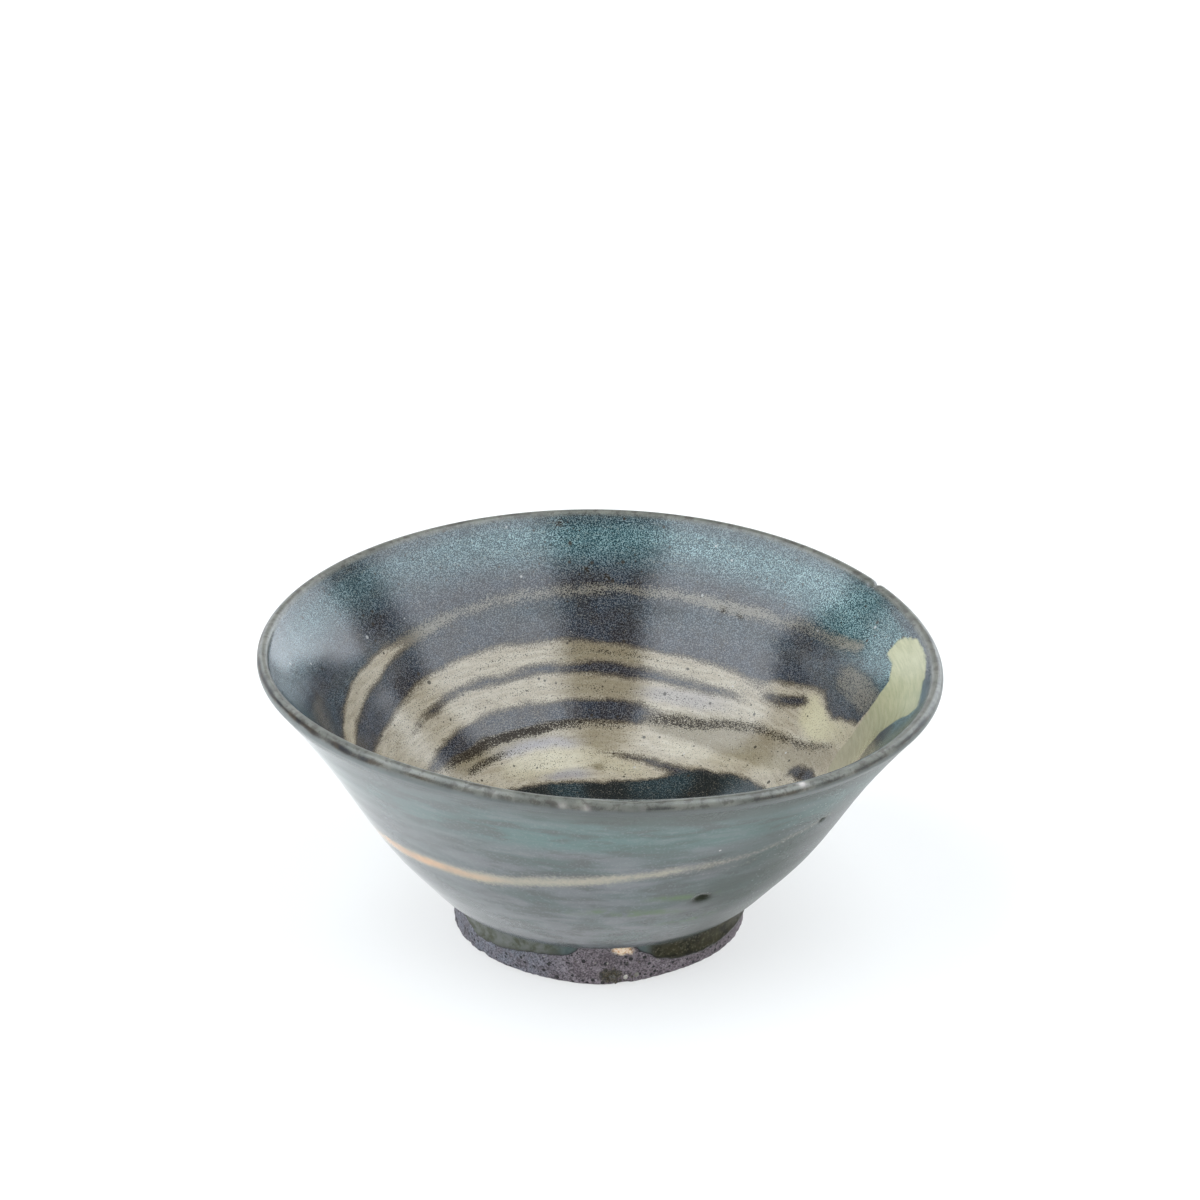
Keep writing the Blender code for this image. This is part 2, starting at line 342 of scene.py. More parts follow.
TAN_RIBBONS = (
    ((-6, 9.5, 1.2, 0), (-14, 12, 1.4, 0.5), (-40, 14.5, 1.5, 0.6), (-75, 15.5, 1.2, 0.5),
     (-120, 15.2, 1, 0.4), (-150, 15.8, 0.8, 0)),
    ((-4, 4, 1.2, 0), (-8, 3, 1.6, 0.5), (-13, 1.8, 1.5, 0.45), (-18, 0.8, 1.2, 0)),
    ((27, 10, 1, 0), (22, 10.4, 3.4, 0.55), (15, 10.2, 4.2, 0.62), (9, 9.9, 4.2, 0.6),
     (4, 9.4, 3.6, 0.45)),
)
RIM_PATCH = (
    (15.6, 3, 1.6, 0), (14, 3, 2.6, 0.8), (10, 2.4, 4.4, 1), (6, 2.9, 5.6, 1), (4.6, 4.8, 9, 1),
    (3.4, 8.6, 16.4, 1), (0, 9.6, 18, 1), (-4, 9.8, 17.6, 1), (-8, 9.4, 16.4, 1), (-10.5, 7.6, 13, 0.95),
    (-12.5, 4.2, 6.4, 0.85), (-15, 2.2, 2.8, 0.75), (-18, 1.2, 1.4, 0),
)
DARK_RIBBONS = (
    ((163, 21.6, 0.3, 0), (156, 21.2, 0.4, 0.45), (150, 20.6, 0.6, 0.7), (143, 20, 0.9, 0.9),
     (135, 19.4, 1, 0.9), (127, 19, 1.2, 0.85), (115, 18.8, 1.4, 0.85), (100, 18.7, 1.5, 0.95),
     (88, 18.7, 1.8, 1), (80, 19, 1.6, 0.95), (70, 19.3, 1.5, 0.85), (60, 19.6, 1.5, 0.85),
     (51, 19.5, 1.1, 0.7), (44, 19.3, 0.5, 0)),
    ((46, 18.4, 0.4, 0), (41, 17.8, 1, 0.8), (35, 17, 1.6, 0.95), (31, 16.2, 1.8, 0.95),
     (28.8, 15.9, 1, 0.7), (27, 15.8, 0.4, 0)),
    ((176, 25.8, 0.6, 0), (160, 25.6, 1.4, 0.7), (152, 25.6, 2.2, 0.95), (140, 25, 2.8, 0.95),
     (128, 24.4, 3.4, 0.85), (110, 24.3, 3.3, 0.85), (95, 24.2, 3.3, 0.95), (84, 24.2, 3.5, 1),
     (78, 24.3, 3.2, 0.9), (74, 24.4, 2.4, 0.6), (68, 24.5, 2, 0.3), (60, 24.5, 1.6, 0)),
    ((58, 17.6, 1, 0), (50, 17.6, 2, 0.25), (44, 17.2, 2, 0.3), (36, 18.4, 1, 0.2), (30, 18, 1, 0)),
    ((100, 29.8, 0.2, 0), (90, 29.9, 0.5, 0.5), (82, 30.3, 0.8, 0.8), (74, 30.6, 1, 0.85),
     (65, 30.9, 1.3, 0.85), (57, 31.2, 1.8, 0.85), (50, 31.6, 2.8, 0.9), (42, 31.8, 4.6, 0.9)),
    ((18, 23.6, 0.6, 0), (14, 23, 2, 0.8), (8, 21.9, 2.4, 0.95), (2, 21.4, 1.8, 0.9), (-8, 21.2, 2, 0.8),
     (-30, 22.5, 2.2, 0.85), (-70, 24, 2.4, 0.9), (-110, 23.8, 2.2, 0.9), (-150, 24.6, 1.8, 0.7),
     (-180, 25.4, 1, 0.3)),
    ((-60, 27.5, 0.8, 0), (-85, 28.2, 1.6, 0.8), (-120, 28, 1.9, 0.9), (-160, 27.4, 1.4, 0.8),
     (-190, 26.6, 1, 0)),
    ((-11.5, 5, 2, 0), (-14, 5.6, 3.6, 0.7), (-17, 7, 5, 0.85), (-24, 9.5, 6, 0.9)),
)
BROWN_RIBBONS = (
    ((158, 26.8, 0.6, 0), (150, 26.9, 1.2, 0.8), (140, 26.7, 1.4, 0.95), (128, 26.4, 1.4, 1),
     (112, 26.2, 1.4, 1), (102, 26, 1.3, 0.8), (94, 25.9, 1.4, 0.6), (84, 26.2, 1.2, 0.5),
     (78, 26.2, 0.8, 0)),
    ((152, 28.8, 0.5, 0), (145, 28.7, 1, 0.75), (134, 28.5, 1, 0.8), (126, 28.3, 0.8, 0.5),
     (118, 28.6, 0.5, 0.2), (106, 28.9, 0.4, 0)),
    ((80, 25, 1.2, 0), (72, 24.8, 1.7, 0.6), (60, 24.3, 1.8, 0.65), (50, 23.3, 1.6, 0.6),
     (40, 22.1, 1.4, 0.6), (30, 21.3, 1.4, 0.6), (20, 20.3, 1.4, 0.6), (14, 19.1, 1.4, 0.55),
     (9, 17.2, 1.2, 0.4), (4, 16, 0.8, 0)),
    ((100, 32.2, 0.3, 0), (94, 32.3, 0.5, 0.25), (84, 32.4, 0.6, 0.3), (74, 32.6, 0.5, 0.2),
     (66, 32.8, 0.4, 0)),
    ((132, 31.2, 0.3, 0), (120, 31, 0.7, 0.25), (108, 30.9, 0.7, 0.3), (98, 30.4, 0.4, 0)),
    ((178, 20, 0.5, 0), (165, 20.6, 0.7, 0.25), (150, 18.9, 0.5, 0.25), (135, 17.4, 0.5, 0.3),
     (110, 16.5, 0.5, 0.3), (88, 16.6, 0.9, 0.45), (70, 17.5, 0.5, 0.3), (52, 17.8, 0.5, 0)),
    ((160, 23, 0.4, 0), (145, 22.4, 0.5, 0.25), (125, 21.3, 0.5, 0.3), (95, 21, 0.6, 0.3),
     (75, 21.8, 0.6, 0.3), (55, 21.7, 0.5, 0.2), (35, 19.8, 0.5, 0)),
)
IRON_SPOTS = (
    (61.5, 9.7, 0.5, 0.5, 0.9), (57, 9.9, 0.5, 0.5, 0.9), (88.5, 7.6, 0.6, 0.6, 0.9),
    (93, 6.6, 0.5, 0.5, 0.9), (98, 0.8, 0.6, 0.6, 0.9), (9, 22.4, 1, 1, 0.9),
)
POOL_EDGE = (
    (170, 33.5), (150, 32.6), (130, 33.2), (122, 33.8), (112, 34.2), (100, 34.5), (88, 34.4), (80, 34),
    (71, 33.6), (64, 32.9), (58, 32), (50, 30.3), (45, 29.7), (40, 29.1), (34, 28.3), (27, 27.6),
    (20, 26.9), (8, 27), (-20, 29.5), (-60, 33), (-100, 34.5), (-150, 34.8),
)
OLIVE_RIBBONS = (
    ((165, 28.2, 0.8, 0), (152, 27.8, 1.6, 0.6), (142, 27.7, 2.4, 0.7), (132, 27.4, 2.4, 0.7),
     (122, 27, 2, 0.65), (114, 26.8, 1.6, 0.5), (106, 26.8, 1.2, 0.35), (100, 27.4, 2.4, 0.4),
     (92, 27.8, 3.6, 0.55), (84, 27.8, 3.2, 0.4), (76, 27, 1.6, 0)),
    ((80, 25.4, 1.6, 0), (70, 25.2, 3, 0.85), (56, 24.9, 4.2, 0.9), (44, 24.4, 5, 0.75),
     (30, 23.6, 5, 0.55), (18, 21.8, 4.6, 0.5), (8, 18.8, 3.6, 0.4), (-2, 17, 2, 0)),
    ((104, 16.6, 2.6, 0), (97, 16.6, 2.8, 0.7), (82, 16.8, 2.8, 0.7), (76, 17.2, 2.4, 0)),
    ((105, 20.9, 2.6, 0), (97, 20.9, 2.8, 0.6), (82, 21, 2.8, 0.6), (75, 21.4, 2.6, 0)),
)
OLIVE_SPOTS = ((91, 32.2, 0.8, 0.5, 1),)
HAZE_RIBBONS = (
    ((134, 28.2, 0.8, 0), (126, 28.2, 1.4, 0.7), (114, 28, 1.6, 0.8), (102, 28.4, 1.4, 0.6),
     (92, 28.8, 0.8, 0)),
    ((122, 33, 0.6, 0), (112, 33.2, 1.4, 0.7), (100, 33.2, 1.6, 0.7), (90, 33, 1, 0)),
    ((84, 21.6, 1, 0), (74, 21.6, 2, 0.5), (60, 21.2, 2.2, 0.5), (46, 20.6, 1.6, 0)),
)
BRIGHT_RIBBONS = (
    ((32, 15.6, 1, 0), (27, 16.2, 4, 0.8), (22, 17, 4, 1), (17, 17.2, 3.6, 0.9), (10, 15.4, 3, 0.5),
     (2, 14, 4, 0.3), (-8, 12, 4, 0)),
    ((74, 27.6, 1, 0), (62, 27.6, 3.2, 0.2), (48, 26.8, 3.6, 0.2), (34, 25.6, 3, 0.2),
     (22, 24.4, 2.4, 0.3), (12, 21.8, 1.6, 0)),
    ((138, 30.8, 1, 0), (126, 30.8, 3, 0.4), (108, 31, 4, 0.5), (92, 30.8, 4, 0.3), (76, 32.2, 1.6, 0.3),
     (64, 32.6, 0.8, 0)),
)

# The lip: pale knocks and a painted glint, the bare line along it, and dents as depth, place, reach, angle
# and turn
KNOCKS_AND_GLINT = (
    # The first mark, on the front right of the lip, is a painted glint; the others are pale knocks.
    (-56.5, -1.7, 0.45, 0.45, 0.9), (-95.9, -2.6, 0.36, 0.36, 0.3), (-92.2, -2.75, 0.4, 0.4, 0.35),
    (-83.5, -2.6, 0.3, 0.3, 0.12), (-106.4, -2.2, 0.3, 0.3, 0.12),
)
LIP_LINE_PLACE = (
    (-180, 1.9), (-150, 1.9), (-120, 2.15), (-98, 2.6), (-60, 2.65), (-40, 2.3), (-20, 1.8), (0, 1.5),
    (60, 1.4), (120, 1.4), (160, 1.6),
)
LIP_LINE_STRENGTH = (
    (-180, 0.85), (-150, 0.95), (-122, 0.9), (-110, 0.55), (-98, 0.35), (-84, 0.5), (-70, 0.6),
    (-45, 0.55), (-20, 0.7), (0, 0.6), (30, 0.4), (100, 0.4), (150, 0.65),
)
LIP_DENTS = ((0.25, -1.3, 0.9, -84.5, 5.0), (0.45, -1.6, 1.1, 31.0, 0.7))
WORN_DEPTH = 0.42
OPENING_DEPTH = 0.42
OPENING_ANGLE = 194.0
OPENING_TURN = 17.0

# How far chance marks are stretched round the wheel's turn
WALL_STRETCH = 14.0
STREAK_STRETCH = 12.0
BAND_STRETCH = 9.0
GRAIN_STRETCH = 4.0


def front_wear():
    """How far the lip is worn down, for each column: only in front."""
    return soft_stretch(AROUND, -125.0, -95.0, -50.0, -20.0)


def painted_left_light():
    """How much painted light lightens the outer glaze on the left, for each column."""
    return 0.4 * soft_stretch(AROUND % 360.0, 140.0, 185.0, 225.0, 260.0)


def under_lip_shade():
    """How much darker the outside of the cup is painted just under the lip, for each column."""
    return 0.2 + 0.6 * soft_stretch(AROUND, -112.0, -86.0, 20.0, 70.0)


def paint_clays(along, radius, placed, flow):
    """Paint channels of the clays that show through the inside coat, and of the pool over them."""
    pale = smooth_step(-1.0, 1.0, placed - edge_line(PALE_TOP))
    for points in DARK_RIBBONS:
        pale *= 1 - ribbon(placed, points, 0.85)
    upper = ribbon(placed, UPPER_STREAK, 0.8)
    off_back = smooth_step(45.0, 65.0, np.abs(AROUND - 85.0))
    on_left = off_back * smooth_step(100.0, 130.0, (AROUND + 10.0) % 360)
    pool = smooth_step(-0.7, 0.7, placed - edge_line(POOL_EDGE))
    patch = ribbon(placed, RIM_PATCH, 0.9)
    ragged = 0.28 * lumps(flow, 1.3, 81.0) + 0.14 * lumps(flow, 0.5, 83.0)
    patch = smooth_step(0.2, 0.8, patch + ragged * smooth_step(0.02, 0.4, patch))
    return {
        "pale": np.maximum(pale, upper * on_left) * (1 - pool),
        "tan": np.maximum(upper, strongest(placed, TAN_RIBBONS, 0.9)),
        "patch": patch * smooth_step(-1.0, 0.4, along),
        "pool": pool,
        "brown": np.maximum(strongest(placed, BROWN_RIBBONS, 0.4), spots(along, radius, IRON_SPOTS)),
        "olive": np.maximum(strongest(placed, OLIVE_RIBBONS, 0.6), spots(along, radius, OLIVE_SPOTS)),
        "bright": strongest(placed, BRIGHT_RIBBONS, 0.8),
        "haze": strongest(placed, HAZE_RIBBONS, 0.6),
        "green": smooth_step(16.0, 5.0, along),
    }


def paint_teal(outline, placed, flow, pool):
    """Where the inside glaze is blue-green: under the rim, in patches and in the pool."""
    patches = 0.5 + 0.5 * lumps(flow, 5.0, 3.0)
    deeper = 2.6 * bump_at(AROUND, 18.0, 24.0)
    by_rim = 1 - (0.45 + 0.45 * bump_at(AROUND, -2.0, 20.0)) * smooth_step(1.9, 0.3, placed)
    by_rim = by_rim * (1 - 0.35 * bump_at(AROUND, 140.0, 22.0))
    by_rim = by_rim * (1 - 0.55 * bump_at(AROUND % 360.0, 190.0, 24.0))
    teal = smooth_step(8.6, 2.6, placed - deeper) * by_rim + 0.35 * bump_at(placed, 11.5, 2.2) * patches
    floor_patches = 0.5 + 0.5 * lumps(raised(outline, 0.0), 5.0, 3.0)
    teal = np.clip(teal + 0.35 * pool * smooth_step(0.4, 0.8, floor_patches), 0.0, 1.0)
    return teal + 0.9 * bump_at(AROUND, 33.0, 9.0) * bump_at(placed, 3.5, 2.6)


def paint_lip(along, flow):
    """Paint channels of the lip, with the thin bare line along its outer edge."""
    line_width = 0.32 + 0.18 * lumps(flow, 3.0, 45.0) + 0.14 * lumps(flow, 0.8, 47.0)
    line_place = edge_line(LIP_LINE_PLACE) + 0.15 * lumps(flow, 4.0, 43.0)
    broken = np.clip(0.75 + 0.9 * lumps(flow, 1.4, 53.0), 0.2, 1.0)
    thin = bump_at(along, -line_place, np.maximum(line_width, 0.1))
    return {
        "lip": smooth_step(0.3, -0.7, along),
        "outer": smooth_step(0.05, 0.6, -along - line_place),
        "shade": under_lip_shade(),
        # painted light on the left, the same as on the outer coat
        "painted_light": painted_left_light(),
        "thin": thin * edge_line(LIP_LINE_STRENGTH) * broken,
        # pale knocks, and one painted glint
        "knock_and_glint": spots(along, RIM_RADIUS, KNOCKS_AND_GLINT),
    }


def paint_inside(outline):
    """Paint channels of the inside coat, from the lip's outer edge to the floor's middle."""
    along = outline.along
    flow = spun(WALL_STRETCH, along, AROUND)
    placed = along + 0.35 * lumps(flow, 2.6) + 0.2 * lumps(flow, 0.9, 7.0)
    paint = paint_clays(along, outline.points[:, :1], placed, flow) | paint_lip(along, flow)
    paint["teal"] = paint_teal(outline, placed, flow, paint["pool"])
    return spread(paint, placed.shape) | {"flow": spun(GRAIN_STRETCH, along, AROUND)}


def inside_outline():
    """The lip from its outer edge, the inner wall and the floor, measured from the lip's inner edge."""
    outer_edge = outer_curve(200)[3:0:-1]
    lip = lip_curve(60)
    lip_length = math.radians(INNER_SLOPE - FLARE_SLOPE + 180) * LIP_RADIUS
    edge_length = np.linalg.norm(outer_edge[0] - lip[0])
    return measured(np.vstack((outer_edge, lip, inner_curve(400)[1:])), -lip_length - edge_length, -1)


def inner_relief(rows):
    """The wall's flare towards the lip, and the softened inner edge of the lip."""
    by_lip = bump_at(rows, 0.0, 3.0) * smooth_step(-1.6, 0.2, rows)
    return 0.5 * bump_at(rows, 8.0, 5.0) - 0.3 * by_lip - 0.08 * bump_at(rows, -0.5, 0.8)


def lip_wear(rows):
    """How much lower the inside coat lies where the lip is worn, dented or opens out on the left."""
    worn = WORN_DEPTH * bump_at(rows, -1.0, 1.0) * front_wear()
    for depth, place, reach, angle, turn in LIP_DENTS:
        worn += depth * bump_at(rows, place, reach) * bump_at(AROUND, angle, turn)
    opened = bump_at(rows, 0.0, 3.5) * smooth_step(-1.6, 0.2, rows)
    return worn + OPENING_DEPTH * opened * bump_at(AROUND % 360.0, OPENING_ANGLE, OPENING_TURN)


def make_inside():
    """The glaze that lines the cup and rounds the lip, with the marbled clay showing through it."""
    fine = inside_outline()
    first = fine.along[0, 0]
    last = fine.along[-1, 0] - 0.25
    by_lip = np.linspace(first + 0.012, 0.6, 24, endpoint=False)
    rows = column((first, first + 0.006), by_lip, np.linspace(0.6, last, 104))
    outline = resampled(fine, rows)
    flow = spun(WALL_STRETCH, rows, AROUND)
    rings = throwing_rings(flow, rows, 3.4, 0.015, 11.0) * smooth_step(1.0, 6.0, rows)
    waves = 0.03 * lumps(flow, 7.0, 5.0) * smooth_step(-3.0, -1.0, rows)
    front = raised(outline, inner_relief(rows) + rings + waves - lip_wear(rows))
    back_wall = np.linspace(last, 6.0, 10, endpoint=False)
    back_rows = column(back_wall, np.linspace(6.0, -0.4, 9), (first + 0.1,))
    thickness = 0.12 + 0.3 * smooth_step(-1.0, 4.0, back_rows)
    depth = inner_relief(back_rows) - lip_wear(back_rows) - thickness
    back = raised(resampled(fine, back_rows), depth)
    paint = {name: values[::-1] for name, values in paint_inside(outline).items()}
    skin = make_skin("inside_coat", hand_thrown(np.vstack((front[::-1], back[::-1]))), False, paint)
    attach(skin, "root")
    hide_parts("inside_glaze", "upper_streak", "middle_streak", "lower_streak",
                "floor_streak", "floor_patch", "rim_patch")
    return skin


# The outside: a streak round the wall, dashes, runs over the foot, and pits with their depth
OUTSIDE_STREAK = (
    (-30, 8.5, 0.6, 0), (-40, 10, 0.9, 0.42), (-55, 12.3, 1.1, 0.5), (-66, 13.2, 1.2, 0.5),
    (-72, 13.4, 1.4, 0.6), (-77, 13.7, 1.5, 0.8), (-85, 14.5, 1.7, 0.9), (-95, 15.4, 1.7, 0.9),
    (-104, 16.1, 1.9, 0.9), (-112, 17.2, 2, 0.9), (-120, 17.8, 2.1, 0.95), (-130, 18, 2.2, 1),
    (-140, 18.4, 2.2, 1), (-150, 19.1, 2.1, 1), (-165, 20.3, 1.9, 0.95), (-190, 22, 1.6, 0.8),
    (-225, 24, 1.2, 0.55), (-250, 25.5, 0.8, 0),
)
OUTSIDE_FAINT = (
    ((-50, 13, 0.5, 0), (-58, 14.4, 0.6, 0.28), (-66, 15, 0.6, 0.3), (-75, 15.4, 0.4, 0)),
    ((150, 9, 0.5, 0), (120, 10.5, 0.9, 0.4), (80, 13, 1.1, 0.6), (40, 15.5, 1, 0.55),
     (5, 17.6, 0.7, 0.3), (-15, 18.6, 0.5, 0)),
)
WARM_CORE = (
    (-108, 17, 0.5, 0), (-120, 17.9, 1.1, 0.6), (-130, 18.1, 1.4, 1), (-145, 18.7, 1.4, 1),
    (-165, 20.3, 1.2, 0.6), (-190, 22, 0.8, 0),
)
OLIVE_DASHES = (
    ((-58, 20, 0.3, 0), (-66, 20.1, 0.9, 0.85), (-76, 19.4, 0.9, 0.9), (-82, 19.3, 0.3, 0)),
    ((-66, 23.4, 0.4, 0), (-76, 22.6, 1.4, 0.75), (-90, 22, 1.6, 0.7), (-104, 22.4, 0.5, 0)),
    ((-56, 25.6, 0.4, 0), (-62, 25.8, 1, 0.5), (-72, 26, 1, 0.4), (-80, 26.2, 0.4, 0)),
    ((140, 21, 0.4, 0), (110, 20.5, 1.2, 0.5), (80, 21.4, 1.2, 0.5), (50, 22.5, 0.5, 0)),
)
RUN_EDGE = (
    (-180, 3.4), (-170, 4.6), (-160, 4.8), (-152, 3.6), (-144.5, 2.4), (-130.5, 2.5), (-116.5, 3.3),
    (-107.5, 3.5), (-102, 3.8), (-99.2, 4.3), (-97.6, 5.2), (-96, 5.3), (-80, 5.25), (-77.5, 5.1),
    (-74.5, 4), (-70.5, 3.6), (-68.5, 2.8), (-61, 2.2), (-52, 1.85), (-41, 1.8), (-19.5, 2.05), (0, 2.4),
    (22, 1.9), (45, 2.6), (70, 3), (90, 2.3), (112, 2), (140, 2.6), (160, 2),
)
EDGE_SMOOTHING = np.array((1, 2, 3, 2, 1)) / 9
PITS = ((-66.2, 20.7, 1.15, 0.85, 0.4), (-42.2, 10.6, 0.55, 0.45, 0.3))
PIT_HOLLOW = 0.7
PIT_DARKNESS = 1.7
SKIRT_LENGTH = 3.5
BEAD_RADIUS = 0.4
BELLY_OUT = 0.5
BELLY_ABOVE_CORNER = 1.5


def run_edge():
    """Height of the outer glaze's lower edge on the foot, for each column."""
    edge = edge_line(RUN_EDGE)
    edge = sum(weight * np.roll(edge, shift - 2) for shift, weight in enumerate(EDGE_SMOOTHING))
    rim = spun(FOOT_TOP_RADIUS, 0.0, AROUND)
    ragged = 0.12 * lumps(rim, 1.6, 2.0) + 0.12 * lumps(rim, 0.6, 9.0)
    return np.minimum(edge + ragged, CORNER_HEIGHT - 0.2)


def paint_outside(outline, skirt_share, bead_edge_shadow):
    """Paint channels of the outside coat: the wall, then the skirt over the foot."""
    rows = outline.along
    along = np.vstack((rows, rows[-1] + SKIRT_LENGTH * skirt_share))
    radii = np.vstack((outline.points[:, :1], np.full_like(skirt_share, FOOT_TOP_RADIUS)))
    flow = spun(STREAK_STRETCH, along, AROUND)
    stretched = spun(BAND_STRETCH, along, AROUND)
    placed = along + 0.3 * lumps(flow, 2.4, 21.0) + 0.12 * lumps(flow, 0.9, 27.0)
    streak = ribbon(placed, OUTSIDE_STREAK, 0.95)
    on_skirt = np.vstack((np.zeros_like(rows), smooth_step(0.0, 0.35, skirt_share)))
    bands = 0.5 + 0.5 * lumps(stretched, 2.2, 33.0)
    teal = bump_at(placed, 6.8, 2.4) + 0.5 * bump_at(placed, 3.2, 1.6) + 0.35 * bands
    # The right of the wall is painted darker: partly glaze that varies, partly painted shade where less
    # light falls.
    on_right = soft_stretch(AROUND, -84.0, -54.0, -28.0, 20.0)
    right_dark_glaze_and_shade = on_right * (0.44 + 0.40 * smooth_step(8.0, 20.0, placed))
    right_dark_glaze_and_shade = right_dark_glaze_and_shade * (0.85 + 0.5 * lumps(flow, 2.4, 59.0))
    lip_shade = under_lip_shade() * smooth_step(5.0, 1.0, placed + 1.2 * lumps(flow, 2.2, 57.0))
    # Where the run over the foot is thick and dark, on the right: partly painted shade.
    thick_run_and_shade = soft_stretch(AROUND, -75.0, -69.0, 20.0, 60.0)
    dark = np.minimum(1.0, spots(along, radii, [(*pit[:4], PIT_DARKNESS) for pit in PITS]))
    dull = np.maximum(on_skirt * thick_run_and_shade, 0.8 * smooth_step(rows[-1] - 7.0, rows[-1] - 1.0, along))
    paint = {
        "pale": np.maximum(streak, strongest(placed, OUTSIDE_FAINT, 0.4)),
        "warm": ribbon(placed, WARM_CORE, 0.4),
        "olive": strongest(placed, OLIVE_DASHES, 0.5),
        "teal": np.clip(teal, 0.0, 1.0) * (1 - on_skirt),
        "rim": smooth_step(1.8, 0.2, along + 0.5 * lumps(flow, 2.0, 41.0)),
        # painted shade on the right, partly glaze that varies, and the darker band under the lip
        "shade": np.maximum(right_dark_glaze_and_shade, lip_shade),
        "dull": np.maximum(dull, np.maximum(0.9 * on_right, 1.1 * dark)),
        # painted light: the left of the wall lighter, as if more light fell there
        "painted_light": painted_left_light(),
        "run": on_skirt,
        # thick, dark run, partly painted shade
        "thick_run_and_shade": thick_run_and_shade,
        "tip": bump_at(AROUND, -101.5, 5.0) + bump_at(AROUND, -75.0, 3.5),
        # painted shadow: a dark line along the bead's edge
        "edge": np.vstack((np.zeros((len(rows), COLUMNS)), bead_edge_shadow)),
        "dark": dark,
    }
    return spread(paint, placed.shape) | {"flow": stretched}


def outer_relief(outline):
    """Rings, waves and pits on the outer wall, and its fullness above the foot."""
    rows = outline.along
    flow = spun(WALL_STRETCH, rows, AROUND)
    relief = throwing_rings(flow, rows, 2.8, 0.008, 13.0) + 0.05 * lumps(flow, 6.0, 17.0)
    relief *= smooth_step(0.5, 4.0, rows)
    relief -= 0.012 * smooth_step(0.5, 0.1, rows)
    fullest = rows[-1] - BELLY_ABOVE_CORNER
    relief += BELLY_OUT * bump_at(rows, fullest, np.where(rows < fullest, 4.0, 1.2))
    hollows = [(angle, place, PIT_HOLLOW * wide, PIT_HOLLOW * high, depth)
               for angle, place, wide, high, depth in PITS]
    return relief - spots(rows, outline.points[:, :1], hollows)


def on_foot(heights, out):
    """Places that stand out from the foot's side by a given amount."""
    return spun(foot_radius(heights) + foot_swell(AROUND) + out, heights, AROUND)


def skirt_rows(share):
    """The glaze that ran over the foot: its outer side, its hidden side and the painted shadow along its
    edge.
    """
    drop = CORNER_HEIGHT - run_edge()
    below = share * drop
    to_edge = drop - below
    bead = np.sqrt(np.clip(1 - (1 - np.minimum(to_edge / BEAD_RADIUS, 1.0)) ** 2, 0.0, 1.0))
    cover = 0.3 + 0.4 * np.exp(-below / 0.7) + 0.1 * bump_at(to_edge, 0.5, 0.35)
    outer_side = on_foot(CORNER_HEIGHT - below, cover * bead - 0.03)
    hidden_below = column(np.linspace(1.0, 0.1, 5)) * (drop - 0.05)
    hidden_side = on_foot(CORNER_HEIGHT - hidden_below, -0.06)
    # the last value is the painted shadow along the bead's edge
    return outer_side, hidden_side, bump_at(to_edge, 0.0, 0.42) * smooth_step(0.35, 0.9, drop)


def make_outside():
    """The outer coat, down the wall and over the foot, where it ends in a rounded bead."""
    fine = measured(outer_curve(400), 0.0, 1)
    length = fine.along[-1, 0]
    rows = column(np.linspace(0.02, 1.2, 8, endpoint=False), np.linspace(1.2, length, 84))
    outline = resampled(fine, rows)
    wall = raised(outline, outer_relief(outline))
    by_bead = np.sin(np.linspace(0.1, 1.0, 10) * math.pi / 2)
    skirt_share = column(np.linspace(0.06, 0.8, 12), 1 - 0.2 * (1 - by_bead))
    skirt, lining, bead_edge_shadow = skirt_rows(skirt_share)
    back_rows = column(np.linspace(length - 0.6, 0.1, 12))
    thickness = 0.2 + 0.25 * smooth_step(0.0, 6.0, back_rows)
    back = raised(resampled(fine, back_rows), -thickness)
    places = hand_thrown(np.vstack((wall, skirt, lining, back)))
    skin = make_skin("outside_coat", places, True, paint_outside(outline, skirt_share, bead_edge_shadow))
    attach(skin, "root")
    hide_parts("outside_glaze", "outside_streak")
    return skin


# The clay body under the coats, and the foot
BODY_DEPTH = 0.6
BODY_LIP_SHARE = 0.2
BASE_ROWS = 40
BASE_RING_PITCH = 1.3
BOSS_GAP = 0.15


def make_body():
    """The thrown clay under the glaze, with the turned base that shows inside the foot ring."""
    inner = measured(inner_curve(60), 0.0, -1)
    outer = measured(outer_curve(60), 0.0, 1)
    inner_points = inner.points - inner.outward * (BODY_DEPTH + 0.35 * bump_at(inner.along, 0.0, 4.0))
    outer_points = outer.points - outer.outward * BODY_DEPTH
    top = LIP_CENTRE + (lip_curve(16)[::-1] - LIP_CENTRE) * BODY_LIP_SHARE
    boss = RING_HOLE - BOSS_GAP
    radii = np.linspace(boss - 0.35, 0.3, BASE_ROWS)
    rings = 0.05 * np.sin(radii / BASE_RING_PITCH * math.tau) * smooth_step(boss, boss - 1.5, radii)
    base = section(radii, RECESS_DEPTH + 0.4 * (1 - radii / boss) + rings)
    under = CORNER_HEIGHT - 0.15
    edge = ((FOOT_TOP_RADIUS - 0.4, under), (boss, under), (boss, RECESS_DEPTH + 0.35))
    points = np.vstack((inner_points[-2::-1], top, outer_points[:-1], edge, base))
    rows = hand_thrown(spun(points[:, :1], points[:, 1:], turns_round(BODY_COLUMNS)))
    rows[-BASE_ROWS:, :, 2] += 0.03 * lumps(rows[-BASE_ROWS:], 1.4, 51.0)
    skin = make_skin("clay_body", rows, False, {})
    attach(skin, "root")
    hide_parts("bowl")
    return skin


